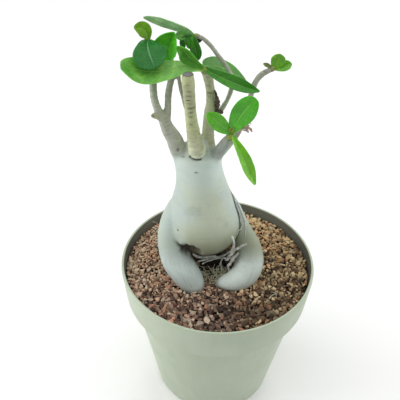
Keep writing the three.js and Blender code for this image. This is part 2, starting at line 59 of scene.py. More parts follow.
PLASTIC_DEEP = (0.385, 0.45, 0.33, 1)
PLASTIC_DUST_AND_SHADE = (0.10, 0.095, 0.08, 1)


def finish(name, roughness, **sockets):
    """A new material with a Principled shader whose constants are set on its own sockets."""
    look = bpy.data.materials.new(name)
    look.use_nodes = True
    shader = look.node_tree.nodes["Principled BSDF"]
    shader.inputs["Roughness"].default_value = roughness
    for socket, value in sockets.items():
        shader.inputs[socket.replace("_", " ")].default_value = value
    return look


def put(look, kind, wires, out=0, **settings):
    """Adds a shader node, wires it up, and gives back one of its outputs."""
    node = look.node_tree.nodes.new("ShaderNode" + kind)
    for name, value in settings.items():
        setattr(node, name, value)
    for socket, value in wires.items():
        if isinstance(value, bpy.types.NodeSocket):
            look.node_tree.links.new(value, node.inputs[socket])
        else:
            node.inputs[socket].default_value = value
    return node.outputs[out]


def places(look, stretch=(1, 1, 1)):
    where = put(look, "TexCoord", {}, "Object")
    return put(look, "Mapping", {"Vector": where, "Scale": stretch})


def cloud(look, where, scale, detail=3, rough=0.55):
    wires = {"Vector": where, "Scale": scale, "Detail": detail, "Roughness": rough}
    return put(look, "TexNoise", wires)


def ramp(look, value, low, high, start=0.0, end=1.0):
    wires = {0: value, 1: low, 2: high, 3: start, 4: end}
    return put(look, "MapRange", wires, interpolation_type="SMOOTHSTEP")


def mixed(look, share, under, over, how="MIX"):
    wires = {0: share, 6: under, 7: over}
    return put(look, "Mix", wires, 2, data_type="RGBA", blend_type=how)


def sums(look, how, first, second=0.0):
    return put(look, "Math", {0: first, 1: second}, operation=how)


def times(look, first, second):
    return sums(look, "MULTIPLY", first, second)


def plus(look, first, *others):
    for other in others:
        first = sums(look, "ADD", first, other)
    return first


def layer(look, name, out="Fac"):
    """A layer of values or colours that was painted on the mesh."""
    return put(look, "Attribute", {}, out, attribute_name=name)


def layered(look, colour, *tones):
    """Lays tones on a colour, each as: pattern, where it starts and is full, strength, tone."""
    for pattern, low, high, strength, tone in tones:
        share = times(look, ramp(look, pattern, low, high), strength)
        colour = mixed(look, share, colour, tone)
    return colour


def dressed(look, colour, roughness=None, height=None, strength=0.3, depth=0.0004):
    """Wires a colour, a roughness and a relief into the material's shader."""
    shader = look.node_tree.nodes["Principled BSDF"]
    link = look.node_tree.links.new
    link(colour, shader.inputs["Base Color"])
    if roughness is not None:
        link(roughness, shader.inputs["Roughness"])
    if height is not None:
        wires = {"Height": height, "Strength": strength, "Distance": depth}
        link(put(look, "Bump", wires), shader.inputs["Normal"])
    return look


def made(name, shape, look, smooth=True):
    """A new object at the origin from a bmesh."""
    mesh = bpy.data.meshes.new(name)
    shape.to_mesh(mesh)
    shape.free()
    mesh.materials.append(look)
    if smooth:
        mesh.shade_smooth()
    piece = bpy.data.objects.new(name, mesh)
    bpy.context.collection.objects.link(piece)
    return piece


def settled(piece):
    """Applies the piece's modifiers to its mesh."""
    graph = bpy.context.evaluated_depsgraph_get()
    shown = piece.evaluated_get(graph)
    mesh = bpy.data.meshes.new_from_object(shown, preserve_all_data_layers=True, depsgraph=graph)
    piece.modifiers.clear()
    piece.data = mesh


def turned(outline, steps):
    """A closed body turned round the upright axis from an outline with rounded corners."""
    shape = bmesh.new()
    corners = [shape.verts.new((radius * MM, 0, height * MM)) for radius, height, _ in outline]
    for start, end in zip(corners, corners[1:]):
        shape.edges.new((start, end))
    for corner, (_, _, rounding) in zip(corners, outline):
        if rounding:
            bmesh.ops.bevel(
                shape, geom=[corner], offset=rounding * MM, segments=4, profile=0.5,
                affect="VERTICES", material=-1,
            )
    whole = shape.verts[:] + shape.edges[:]
    bmesh.ops.spin(
        shape, geom=whole, cent=(0, 0, 0), axis=(0, 0, 1), angle=TURN, steps=steps,
        use_merge=True, use_duplicate=False,
    )
    bmesh.ops.remove_doubles(shape, verts=shape.verts, dist=0.000002)
    bmesh.ops.recalc_face_normals(shape, faces=shape.faces)
    return shape


def plastic():
    look = finish("sage_polypropylene", 0.42)
    where = places(look)
    broad = cloud(look, where, 16, 2)
    flow = cloud(look, places(look, (160, 160, 9)), 1, 3)
    mottle = plus(look, times(look, broad, 0.75), times(look, flow, 0.25))
    colour = mixed(look, ramp(look, mottle, 0.35, 0.65), PLASTIC_DEEP, PLASTIC_PALE)
    # the inside wall is darkened, partly as dust and partly as painted shade inside the pot
    dust_and_shade = plus(look, layer(look, "inside"), times(look, broad, 0.3))
    colour = layered(look, colour, (dust_and_shade, 0.3, 1.1, 0.9, PLASTIC_DUST_AND_SHADE))
    pebble = cloud(look, where, 1500, 4)
    rough = ramp(look, cloud(look, where, 60, 4), 0.3, 0.7, 0.36, 0.5)
    height = plus(look, times(look, pebble, 0.4), cloud(look, where, 90, 2))
    return dressed(look, colour, rough, height, 0.12, 0.0003)


pot_shape = turned(POT_OUTLINE, POT_STEPS)
inside_layer = pot_shape.verts.layers.float.new("inside")
for vert in pot_shape.verts:
    radius, height = math.hypot(vert.co.x, vert.co.y) / MM, vert.co.z / MM
    wall = 67 + 3 * (height - 94) / 28 if height > 94.5 else 45 + 17 * height / 94
    within = POT_WELL < height < 121.7 and radius < wall - 1.4
    vert[inside_layer] = 1.0 if within else 0.0
pot = made("pot_shell", pot_shape, plastic())

drain_shape, slot_shape = bmesh.new(), bmesh.new()
for i in range(DRAINS):
    angle = TURN * (i + 0.5) / DRAINS
    spot = (DRAIN_CIRCLE * MM * math.cos(angle), DRAIN_CIRCLE * MM * math.sin(angle), 0)
    bmesh.ops.create_cone(
        drain_shape, cap_ends=True, segments=32, radius1=DRAIN_RADIUS * MM,
        radius2=DRAIN_RADIUS * MM, depth=0.012, matrix=Matrix.Translation(spot),
    )
for i in range(SLOTS):
    aim = Matrix.Rotation(TURN * i / SLOTS + TURN / 16, 4, "Z")
    out = Matrix.Translation(((DRAIN_CIRCLE + SLOT_SIZE[0] / 2) * MM, 0, 0))
    size = Matrix.Diagonal((SLOT_SIZE[0] * MM, SLOT_SIZE[1] * MM, SLOT_SIZE[2] * MM, 1))
    bmesh.ops.create_cube(slot_shape, size=1, matrix=aim @ out @ size)
cutters = [
    made(name, tool, pot.data.materials[0])
    for name, tool in (("drains", drain_shape), ("slots", slot_shape))
]
for cutter in cutters:
    cut = pot.modifiers.new(cutter.name, "BOOLEAN")
    cut.operation = "DIFFERENCE"
    cut.object = cutter
    cut.solver = "EXACT"
settled(pot)
for cutter in cutters:
    bpy.data.objects.remove(cutter)
pot.data.set_sharp_from_angle(angle=math.radians(50))
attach(pot, "root")
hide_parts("pot")

# ---------------------------------------------------------------- plant
# The desert rose grew as one piece: a bottle-shaped stem on two thick legs, with buttress roots
# behind and branches above. The bark is smooth, pale and silvery on the stem, and grey-olive with
# oval leaf scars on the branches. It is made of limbs that are fused and smoothed together.
LIMBS = {  # knots: x, y, z and radius, in millimetres
    "bottle": [
        (-8.5, 8, 136.6, 9), (-8.5, 7, 139.8, 17), (-8.8, 6, 144.2, 22.4), (-9.4, 5.4, 150, 25.2),
        (-10.4, 5, 157.4, 25.5), (-11.6, 4.6, 166, 23.4), (-12.4, 4.4, 175, 20.8),
        (-13.2, 4, 185, 17.8), (-14.4, 3.6, 195, 15.9), (-15.4, 3.2, 204, 15.3),
        (-16, 3, 210, 15.6), (-16.2, 3, 214, 13.5), (-16.2, 3, 217, 8),
    ],
    "stock": [(-7, 11, 142, 15), (-6, 15, 124, 13.6), (-6, 16, 112, 13.4), (-6, 16, 98, 10)],
    "left_leg": [
        (-19.5, 6, 176, 9), (-25, 5, 165, 11), (-29.6, 2.5, 152, 12), (-31.4, -2.5, 139, 11.6),
        (-29.4, -9, 129, 10.8), (-23.4, -14.2, 121.4, 10.2), (-18, -16.6, 113.6, 9),
        (-14, -18, 105, 7),
    ],
    "right_leg": [
        (4, 7, 178, 3.2), (9.2, 5, 169, 4.2), (12.6, 2.4, 159.5, 5.3), (16.4, 0.4, 149, 6.9),
        (21, -2, 137.6, 9), (22.8, -6, 127, 10.2), (19.6, -12, 120, 10),
        (12.4, -16.3, 116.6, 8.2), (5.4, -16.8, 114.6, 5.6), (0, -15.4, 111.5, 3),
    ],
    "left_buttress": [
        (-18, 14, 156, 9), (-24, 21, 142, 10), (-28, 27.5, 128, 9.6), (-30, 32, 116, 8.4),
        (-31, 34, 104, 5),
    ],
    "right_buttress": [
        (0, 16, 154, 9), (7, 23, 141, 10), (11.5, 29, 128, 9.4), (13, 33, 116, 8),
        (14, 35, 104, 5),
    ],
    "left": [
        (-23.5, 2, 206, 6.4), (-27.6, 1, 214.5, 5.7), (-31.2, 0.2, 225, 5),
        (-34.5, 0.2, 231.4, 4.3), (-36, 0.4, 235.2, 4), (-36.7, 0.5, 237.6, 3),
    ],
    "left_outer": [
        (-36.8, 0.4, 235.6, 3.2), (-39.5, 1.2, 241.6, 2.7), (-41.7, 2.9, 246.4, 2.5),
        (-43.2, 6, 250.6, 2.4), (-43.8, 10.5, 254.4, 2.4), (-43.9, 14, 259, 2.3),
        (-44.2, 16.2, 265, 2.1), (-45, 17, 272, 1.9), (-46, 16.2, 280.4, 1.7),
    ],
    "left_inner": [
        (-35.6, 0.8, 234.6, 3), (-34.8, 2.4, 240.4, 2.3), (-34.6, 4.8, 245.6, 2.15),
        (-34.5, 7.8, 250.2, 2.15), (-33.7, 10.8, 256, 2.15), (-32.3, 12.8, 261, 2.1),
        (-32, 13.6, 265, 1.9),
    ],
    "left_stub": [(-38, 0.4, 239, 2.3), (-41.2, -0.6, 240.8, 2.1), (-43.4, -1.5, 241.6, 1.6)],
    "thin_back": [
        (-19.6, 7, 210, 2.4), (-21, 8, 222, 1.7), (-22, 8.5, 234, 1.5), (-24.6, 9, 245, 1.4),
        (-26.8, 10.5, 253.4, 1.4), (-28.4, 12.5, 261, 1.3), (-28.8, 14.5, 267.6, 1.2),
    ],
    "pruned": [
        (-15.8, -1.6, 214.4, 4), (-16.2, -4.8, 219.8, 5.6), (-16.9, -7.3, 224.4, 5.2),
        (-18, -8.7, 230.6, 4.5), (-19.1, -9, 238, 4), (-20.3, -9, 247, 3.6),
        (-21.3, -9, 258.4, 3.6), (-22, -9, 268.6, 3.8), (-22.3, -9, 273.8, 3.5),
    ],
    "centre": [
        (-10, 3.5, 206, 5.6), (-9.2, 4.4, 216, 4.6), (-9.6, 5.2, 226, 3.9),
        (-9.2, 5.6, 235.4, 3.9), (-8.7, 5.6, 242, 3.7), (-8.5, 5.3, 249, 3),
        (-9.2, 4.6, 257.5, 2.8), (-10.6, 3.8, 264.6, 2.9), (-12.4, 3, 269.4, 2.4),
    ],
    "right_low": [
        (-8.4, 0.5, 205, 5.4), (-4.6, -2, 213.4, 4.4), (-1, -5.2, 222, 3.5),
        (1.6, -8.4, 229, 3), (3.2, -10.6, 233, 2.5),
    ],
    "far_right": [
        (-5.6, 3, 207, 3.6), (1, 4.4, 214.6, 2.7), (7.4, 6.6, 222, 2), (11.4, 9, 229.5, 1.8),
        (14.3, 11, 239.6, 1.75), (16, 12, 249, 1.8), (18.1, 12.2, 258, 1.9),
        (21.8, 12.2, 264, 1.8), (27.2, 12, 267.4, 1.6),
    ],
    "arching": [
        (-9, 6, 239.4, 2), (-5.6, 7, 240.2, 2), (-2.4, 8, 241, 1.8), (0.4, 9, 245.2, 1.55),
        (3, 9.8, 251.4, 1.5), (4, 10, 258, 1.45), (3, 10, 264.2, 1.45), (0, 9.8, 269.8, 1.45),
        (-5, 9.2, 276.8, 1.4), (-9.8, 8.6, 283.4, 1.35), (-14, 8.2, 287.6, 1.3),
        (-17, 8, 289, 1.3),
    ],
}
STEM_JOINT, BRANCH_JOINT = 9, 1.9  # a joint is smoothed where a second limb is this near
JOINT_ROUNDS, SKIN_ROUNDS = 20, 2
CAVITY, CAVITY_SIZE, CAVITY_DEPTH = (-19, 144), (8.2, 8), 4.6  # the brown one by the left leg
STEM = ("bottle", "stock", "left_leg", "right_leg", "left_buttress", "right_buttress")
SHARP_PAIRS = ({"bottle", "right_leg"}, {"left_outer", "left_inner"}, {"left", "left_stub"})
VOXEL = 0.0007
BARK_MARKS = [  # x, y, z, half width, half height, depth, darkness
    (-16.5, -12.4, 207.8, 1.2, 0.45, 0.15, 0.9),
    (-21.6, -12.4, 264.5, 2.0, 0.35, 0.2, 0.75), (-21.8, -12.4, 261.6, 1.8, 0.35, 0.2, 0.7),
    (-21.9, -12.4, 258.8, 1.2, 0.35, 0.2, 0.7), (-21.4, -12.4, 256.8, 2.0, 0.3, 0.2, 0.6),
    (-20.8, -12.5, 253.4, 1.7, 0.6, 0.2, 0.6), (-20.1, -12.6, 250.6, 1.5, 0.6, 0.2, 0.6),
    (-20.4, -12.8, 247.6, 1.4, 0.8, 0.2, 0.5), (-20.1, -13, 242.7, 1.3, 1.0, 0.2, 0.45),
    (-9.4, 2.2, 255.9, 2.2, 0.8, 0.2, 0.6), (-10.4, 1.6, 261.2, 1.6, 0.8, 0.2, 0.4),
    (-43.4, -3, 242.4, 0.7, 0.7, 0.3, 0.85), (-10.6, 0.8, 267, 1.8, 0.5, 0.2, 0.35),
    (-28.1, -12, 159.3, 0.9, 0.7, 0.3, 0.9), (-25.6, -14, 154.6, 0.8, 0.5, 0.1, 0.35),
    (4.4, -10.2, 178.5, 0.6, 0.5, 0.1, 0.35), (-19.6, -13.6, 176, 0.5, 0.4, 0.1, 0.3),
    (-28.2, -4.5, 219.1, 1.1, 1.3, 0.5, 0.6), (-24.6, -5, 214.6, 1.4, 0.8, 0.3, 0.4),
]
BARK_SILVER = (0.46, 0.545, 0.51, 1)
BARK_YELLOW = (0.50, 0.56, 0.43, 1)
STEM_SHADE, STEM_RING = (0.30, 0.345, 0.30, 1), (0.25, 0.285, 0.25, 1)
STEM_FLECK, STEM_DOT = (0.55, 0.60, 0.52, 1), (0.16, 0.17, 0.13, 1)
NECK_WHITE, BELLY_SHADE_OLIVE = (0.58, 0.69, 0.655, 1), (0.255, 0.28, 0.18, 1)
FLANK_GREY = (0.34, 0.41, 0.375, 1)
FOOT_LEFT = ((0.61, 0.71, 0.68, 1), (0.45, 0.54, 0.525, 1))
FOOT_RIGHT_PAINTED_LIGHT = ((0.76, 0.86, 0.82, 1), (0.57, 0.67, 0.645, 1))
BRANCH_GREY = (0.37, 0.39, 0.345, 1)
BRANCH_OLIVE = (0.44, 0.48, 0.25, 1)
BRANCH_PALE_AND_LIT = (0.74, 0.79, 0.53, 1)
BRANCH_BLUE = (0.33, 0.375, 0.365, 1)
LIMB_SHADE, LIMB_FLECK = (0.24, 0.235, 0.17, 1), (0.17, 0.155, 0.10, 1)
RING_DARK, RING_PALE = (0.19, 0.18, 0.12, 1), (0.62, 0.63, 0.48, 1)
TICK_BROWN, RUST = (0.09, 0.07, 0.035, 1), (0.30, 0.15, 0.06, 1)
BARK_BLACK = (0.022, 0.019, 0.015, 1)
BARK_SOIL_AND_SHADE = (0.05, 0.038, 0.024, 1)
BARK_EARTH_AND_SHADE = (0.15, 0.12, 0.072, 1)
CUT_WOOD, CUT_HEART = (0.20, 0.195, 0.205, 1), (0.12, 0.12, 0.125, 1)
YELLOWING = {"pruned": 1, "centre": 0.7, "left_stub": 0.6, "arching": 0.2}
ROUND_END = ((0.8, 0.55), (0.35, 0.9))  # shares of the radius, and how far out they lie


def stations(knots, count):
    """Evenly spaced places with their radii, in metres, on the smooth curve through the knots."""
    spots = [Vector(knot[:3]) for knot in knots]
    girths = [knot[3] if len(knot) > 3 else 0 for knot in knots]
    spots = [2 * spots[0] - spots[1], *spots, 2 * spots[-1] - spots[-2]]
    girths = [girths[0], *girths, girths[-1]]
    fine = []
    for i in range(len(knots) - 1):
        a, b, c, d = spots[i : i + 4]
        ga, gb, gc, gd = girths[i : i + 4]
        da, db, dc = math.sqrt((b - a).length), math.sqrt((c - b).length), math.sqrt((d - c).length)
        leave = ((b - a) / da - (c - a) / (da + db) + (c - b) / db) * db
        arrive = ((c - b) / db - (d - b) / (db + dc) + (d - c) / dc) * db
        swell, fade = (gc - ga) / 2, (gd - gb) / 2
        for j in range(24):
            t = j / 24
            spot = b + leave * t + (3 * (c - b) - 2 * leave - arrive) * t * t
            spot += (2 * (b - c) + leave + arrive) * t**3
            girth = gb + swell * t + (3 * (gc - gb) - 2 * swell - fade) * t * t
            girth += (2 * (gb - gc) + swell + fade) * t**3
            fine.append((spot, girth))
    fine.append((spots[-2], girths[-2]))
    reach = [0.0]
    for (start, _), (end, _) in zip(fine, fine[1:]):
        reach.append(reach[-1] + (end - start).length)
    line, j = [], 0
    for i in range(count + 1):
        goal = reach[-1] * i / count
        while j < len(fine) - 2 and reach[j + 1] < goal:
            j += 1
        share = (goal - reach[j]) / max(reach[j + 1] - reach[j], 1e-9)
        spot = fine[j][0].lerp(fine[j + 1][0], share)
        girth = fine[j][1] + (fine[j + 1][1] - fine[j][1]) * share
        line.append((spot * MM, girth * MM))
    return line


def headings(line):
    """The way that a line of stations runs at each of them."""
    spots = [line[0][0], *(spot for spot, _ in line), line[-1][0]]
    return [(ahead - behind).normalized() for behind, ahead in zip(spots, spots[2:])]


def framed(spot, heading, side, radius):
    """The matrix that takes a unit circle to a ring round a limb, and the side that it keeps."""
    side = (side - heading * side.dot(heading)).normalized()
    across = heading.cross(side)
    turn = Matrix((side * radius, across * radius, heading * radius)).transposed().to_4x4()
    return Matrix.Translation(spot) @ turn, side


def brought(shape, part):
    """Adds one bmesh to another and gives back the vertices that came with it."""
    before = len(shape.verts)
    bits = bpy.data.meshes.new("bits")
    part.to_mesh(bits)
    part.free()
    shape.from_mesh(bits)
    bpy.data.meshes.remove(bits)
    shape.verts.ensure_lookup_table()
    return shape.verts[before:]


def limb(shape, line, sides, round_end=True):
    """Grows a closed round limb along a line of stations, with a rounded or a flat end."""
    ways = headings(line)
    rings = [(spot, way, radius) for (spot, radius), way in zip(line, ways)]
    spot, way, radius = rings[0]
    rings[:0] = [(spot - way * radius * b, way, radius * a) for a, b in reversed(ROUND_END)]
    if round_end:
        spot, way, radius = rings[-1]
        rings += [(spot + way * radius * b, way, radius * a) for a, b in ROUND_END]
    part = bmesh.new()
    before, side = framed(rings[0][0], rings[0][1], ways[0].orthogonal(), rings[0][2])
    ring = bmesh.ops.create_circle(part, segments=sides, radius=1, matrix=before)["verts"]
    # each edge once and in the ring's order, which a set of them wouldn't keep from run to run
    edges = list(dict.fromkeys(edge for vert in ring for edge in vert.link_edges))
    bmesh.ops.contextual_create(part, geom=edges)
    for spot, way, radius in rings[1:]:
        after, side = framed(spot, way, side, radius)
        fresh = bmesh.ops.extrude_edge_only(part, edges=edges)["geom"]
        ring = [piece for piece in fresh if isinstance(piece, bmesh.types.BMVert)]
        kept = set(ring)
        edges = [
            piece for piece in fresh
            if isinstance(piece, bmesh.types.BMEdge) and kept.issuperset(piece.verts)
        ]
        bmesh.ops.transform(part, matrix=after @ before.inverted(), verts=ring)
        before = after
    bmesh.ops.contextual_create(part, geom=edges)
    bmesh.ops.recalc_face_normals(part, faces=part.faces)
    return brought(shape, part)


def near(value, low, high):
    """0 below low, 1 above high, and smooth between them."""
    share = min(max((value - low) / (high - low), 0), 1)
    return share * share * (3 - 2 * share)


def below(value, full, none):
    """1 below full, 0 above none, and smooth between them."""
    return near(-value, -none, -full)


def split(look, value, kind="SeparateXYZ"):
    return put(look, kind, {0: value}).node.outputs


def bark():
    look = finish("bark", 0.55, Specular_IOR_Level=0.4)
    where = places(look)
    x, _, z = split(look, where)
    age, mark_and_shade, soil_and_shade = split(look, layer(look, "bark", "Color"), "SeparateColor")
    wood, foot, olive = split(look, layer(look, "growth", "Color"), "SeparateColor")
    grown = layer(look, "grain", "Vector")

    def along(stretch):
        return put(look, "Mapping", {"Vector": grown, "Scale": stretch})

    broad = cloud(look, where, 30, 3, 0.5)
    patches = cloud(look, where, 75, 5, 0.6)
    around = cloud(look, places(look, (60, 60, 900)), 1, 4, 0.6)
    fine = cloud(look, where, 900, 4, 0.6)
    flecks = cloud(look, where, 330, 5, 0.7)
    # the stem: silver and yellow clouds, fine rings, and dark breathing pores in groups
    spots = put(look, "TexVoronoi", {"Vector": where, "Scale": 230}, "Distance")
    dots = ramp(look, spots, 0.08, 0.17, 1, 0)
    dots = times(look, dots, ramp(look, cloud(look, where, 38, 2), 0.54, 0.64))
    stem = mixed(look, ramp(look, broad, 0.42, 0.6), BARK_SILVER, BARK_YELLOW)
    stem = layered(
        look, stem, (patches, 0.5, 0.68, 0.35, STEM_SHADE), (around, 0.52, 0.7, 0.22, STEM_RING),
        (fine, 0.56, 0.72, 0.25, STEM_FLECK),
    )
    stem = mixed(look, times(look, dots, 0.3), stem, STEM_DOT)
    # the neck is whiter, the belly's underside darker olive as painted shade, and the left flank greyer
    stem = mixed(look, ramp(look, z, 0.182, 0.206, 0, 0.75), stem, NECK_WHITE)
    belly_shade = times(look, ramp(look, z, 0.146, 0.172, 0.9, 0), ramp(look, x, -0.027, -0.019))
    stem = mixed(look, belly_shade, stem, BELLY_SHADE_OLIVE)
    stem = mixed(look, ramp(look, x, -0.036, -0.018, 0.6, 0), stem, FLANK_GREY)
    # bluish feet, with streaks that run lengthwise; the right foot's tones are a lighter copy of the
    # left's, as painted light
    streaks = ramp(look, cloud(look, along((1.5, 1.5, 0.2)), 1, 4, 0.6), 0.48, 0.7)
    feet = [mixed(look, streaks, *tones) for tones in (FOOT_LEFT, FOOT_RIGHT_PAINTED_LIGHT)]
    blue = mixed(look, ramp(look, x, -0.006, 0.004), *feet)
    stem = mixed(look, times(look, foot, 0.85), stem, blue)
    # branches ringed with fine growth lines and with the short dark ticks of old leaf scars
    rings = cloud(look, along((0.12, 0.12, 1.5)), 1, 4, 0.65)
    limbs = mixed(look, olive, BRANCH_GREY, BRANCH_OLIVE)
    limbs = mixed(look, times(look, foot, 0.9), limbs, BRANCH_BLUE)
    # the pruned branch's base is paler: partly its own bark, partly painted light where it lies in its own
    # shade
    limbs = mixed(look, layer(look, "pale"), limbs, BRANCH_PALE_AND_LIT)
    limbs = layered(
        look, limbs, (patches, 0.42, 0.64, 0.4, LIMB_SHADE), (rings, 0.5, 0.68, 0.3, RING_DARK),
        (rings, 0.46, 0.3, 0.35, RING_PALE), (flecks, 0.52, 0.7, 0.45, LIMB_FLECK),
    )
    cells = {"Vector": along((0.15, 0.15, 0.42)), "Scale": 1.0, "Randomness": 0.8}
    ticks = ramp(look, put(look, "TexVoronoi", cells, "Distance"), 0.10, 0.24, 1, 0)
    ticks = times(look, ticks, ramp(look, patches, 0.36, 0.56))
    ticks = times(look, ticks, plus(look, 0.15, times(look, olive, 0.6)))
    limbs = mixed(look, ticks, limbs, TICK_BROWN)
    cells = {"Vector": along((0.3, 0.3, 0.5)), "Scale": 1.0}
    rust = ramp(look, put(look, "TexVoronoi", cells, "Distance"), 0.08, 0.15, 1, 0)
    rust = times(look, rust, ramp(look, broad, 0.5, 0.6))
    limbs = mixed(look, times(look, rust, 0.6), limbs, RUST)
    # the cut end, earth and painted shade in the hollows, and the dark marks with painted shade in the
    # creases
    colour = mixed(look, age, stem, limbs)
    colour = mixed(look, wood, colour, mixed(look, ramp(look, patches, 0.4, 0.6), CUT_WOOD, CUT_HEART))
    earth_and_shade = mixed(look, ramp(look, flecks, 0.42, 0.62), BARK_SOIL_AND_SHADE, BARK_EARTH_AND_SHADE)
    colour = mixed(look, soil_and_shade, colour, earth_and_shade)
    colour = mixed(look, mark_and_shade, colour, BARK_BLACK)
    rough = ramp(look, cloud(look, where, 130, 4), 0.3, 0.7, 0.46, 0.66)
    height = plus(
        look, times(look, fine, 0.5), around, times(look, dots, -0.5),
        times(look, times(look, ticks, age), -0.8), times(look, times(look, flecks, soil_and_shade), 2.0),
    )
    return dressed(look, colour, rough, height, 0.25, 0.0005)


plant_shape = bmesh.new()
paths = {}
for name, knots in LIMBS.items():
    length = sum((Vector(b[:3]) - Vector(a[:3])).length for a, b in zip(knots, knots[1:]))
    paths[name] = stations(knots, max(int(length), 6))
    limb(plant_shape, paths[name], 40 if name in STEM else 20, name != "pruned")
plant = made("plant", plant_shape, bark())
fuse = plant.modifiers.new("fuse", "REMESH")
fuse.mode = "VOXEL"
fuse.voxel_size = VOXEL
fuse.use_smooth_shade = True
settled(plant)

ways = {name: headings(line) for name, line in paths.items()}
trees = {}
for name, line in paths.items():
    trees[name] = kdtree.KDTree(len(line))
    for i, (spot, _) in enumerate(line):
        trees[name].insert(spot, i)
    trees[name].balance()


def nearest_limbs(spot):
    """The two limbs whose skins are nearest to a spot, with how far off they are and the station."""
    found = []
    for name, tree in trees.items():
        _, i, away = tree.find(spot)
        found.append((away - paths[name][i][1], name, i))
    return sorted(found)[:2]


def smoothed(shape, verts, rounds, factor):
    for _ in range(rounds):
        bmesh.ops.smooth_vert(
            shape, verts=verts, factor=factor, use_axis_x=True, use_axis_y=True, use_axis_z=True,
        )


shape = bmesh.new()
shape.from_mesh(plant.data)
joined, skin = [], []
for vert in shape.verts:
    (_, name, i), (gap, other, _) = nearest_limbs(vert.co)
    gap /= MM
    pair = {name, other}
    skin.append((name, i, gap, pair))
    low_crease = pair == {"bottle", "left_leg"} and vert.co.z < 0.150
    reach = STEM_JOINT if pair <= set(STEM) else BRANCH_JOINT
    if gap < reach and pair not in SHARP_PAIRS and not low_crease:
        joined.append(vert)
smoothed(shape, joined, JOINT_ROUNDS, 0.5)
smoothed(shape, shape.verts, SKIN_ROUNDS, 0.4)
shape.normal_update()

zones = shape.verts.layers.float_color.new("bark")
growth = shape.verts.layers.float_color.new("growth")
pale = shape.verts.layers.float.new("pale")
grain = shape.verts.layers.float_vector.new("grain")
moves = []
for vert, (name, i, gap, pair) in zip(shape.verts, skin):
    spot = vert.co / MM
    line, way = paths[name], ways[name][i]
    away = vert.co - line[i][0]
    run = (i * (line[1][0] - line[0][0]).length + away.dot(way)) / MM
    flat = away - way * away.dot(way)
    radius = flat.length / MM
    vert[grain] = flat / MM + Vector((0, 0, run)) + Vector((7, 3, 0)) * len(name)
    rise = 0.10 * noise.noise(vert.co * 160) + 0.05 * noise.noise(vert.co * 420)
    mark_and_shade = wood = 0.0
    age = near(spot.z + 3 * noise.noise(vert.co * 120), 207, 222)
    if name in STEM:
        age *= 0.6
        rise += 0.35 * noise.noise(vert.co * 45)
        wrinkle = noise.noise(Vector((spot.x * 0.03, spot.y * 0.03, spot.z * 0.55)))
        rise += 0.07 * wrinkle * near(spot.z, 150, 190)
    else:
        # swollen rings where leaves once stood
        ring = noise.noise(Vector((run * 0.55, 0.1 * flat.x / MM, len(name))))
        rise += min(0.16, 0.05 * radius) * ring + 0.14 * noise.noise(vert.co * 230)
        mark_and_shade = 0.18 * near(ring, 0.2, 0.55)
    for x, y, z, half_width, half_height, depth, dark in BARK_MARKS:
        off = math.hypot(math.hypot(spot.x - x, spot.y - y) / half_width, (spot.z - z) / half_height)
        if off < 2:
            mark_and_shade = max(mark_and_shade, dark * (1 - near(off, 0.5, 1.5)))
            rise -= depth * (1 - near(off, 0.2, 1.6))
    # painted shade in the creases beside the legs, and a painted shadow line under the lip below the pruned
    # branch
    if pair == {"bottle", "right_leg"} and spot.z < 180:
        mark_and_shade = max(mark_and_shade, 0.85 * (1 - near(gap, 0.1, 1.3)))
    if pair == {"bottle", "pruned"} and spot.y < -6:
        lip = (1 - near(gap, 0.8, 2.0)) * below(abs(spot.x + 17.4), 3.4, 5.0)
        mark_and_shade = max(mark_and_shade, 0.95 * lip)
        rise -= 0.8 * lip
    if pair == {"bottle", "left_leg"} and spot.z < 150:
        mark_and_shade = max(mark_and_shade, 0.8 * (1 - near(gap, 0.3, 2.4)) * below(spot.z, 146, 150))
    # earth and painted shade under the belly, in the cavity, at the gravel and on the stock
    under = near(-vert.normal.z, 0.0, 0.6) * below(abs(spot.x + 5), 17, 24) * below(spot.z, 139, 146)
    brown = 9
    if spot.y < 0:
        off_x, off_z = spot.x - CAVITY[0], spot.z - CAVITY[1]
        brown = math.hypot(off_x / CAVITY_SIZE[0], off_z / CAVITY_SIZE[1])
    soil_and_shade = max(0.9 * under, 0.97 * (1 - near(brown, 0.6, 1.15)))
    rise -= CAVITY_DEPTH * (1 - near(brown, 0.3, 1.1))
    soil_and_shade = max(soil_and_shade, (0.3 if spot.y < -8 else 0.85) * below(spot.z, 113.8, 116.5))
    if brown < 1.3:
        rise += 1.5 * noise.noise(vert.co * 380) * (1 - near(brown, 0.7, 1.3))
    # the stock behind the hollow is painted near black, as earth and as the shade that it lies in
    if name == "stock":
        soil_and_shade, mark_and_shade = 1.0, 0.75
        rise += 1.6 * noise.noise(vert.co * 210) + 0.8 * noise.noise(vert.co * 600)
    if name == "pruned" and way.dot(vert.normal) > 0.7 and spot.z > 271:
        wood = 1 - near(radius, 2.3, 2.9)
        mark_and_shade = max(mark_and_shade, 0.8 * near(radius, 2.2, 2.7))
        rise -= 0.5 * (1 - near(radius, 1.6, 2.8))
    foot = 0.9 if name == "right_low" else 0
    if name in ("left_leg", "right_leg"):
        foot = below(spot.z, 128, 146) * below(spot.y, -14, -4)
        foot *= 1 if name == "left_leg" else 0.85
    yellow = YELLOWING.get(name, 0.15 if age > 0 else 0)
    # paler base of the pruned branch, partly painted light
    vert[pale] = below(spot.z, 222, 236) if name == "pruned" else 0
    vert[zones] = (age, mark_and_shade, soil_and_shade, 1)
    vert[growth] = (wood, foot, yellow, 1)
    moves.append(vert.normal * rise * MM)
for vert, move in zip(shape.verts, moves):
    vert.co += move
shape.to_mesh(plant.data)
plant.data.shade_smooth()
plant_skin = BVHTree.FromBMesh(shape)
shape.free()
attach(plant, "root")
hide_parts("caudex_and_branches")

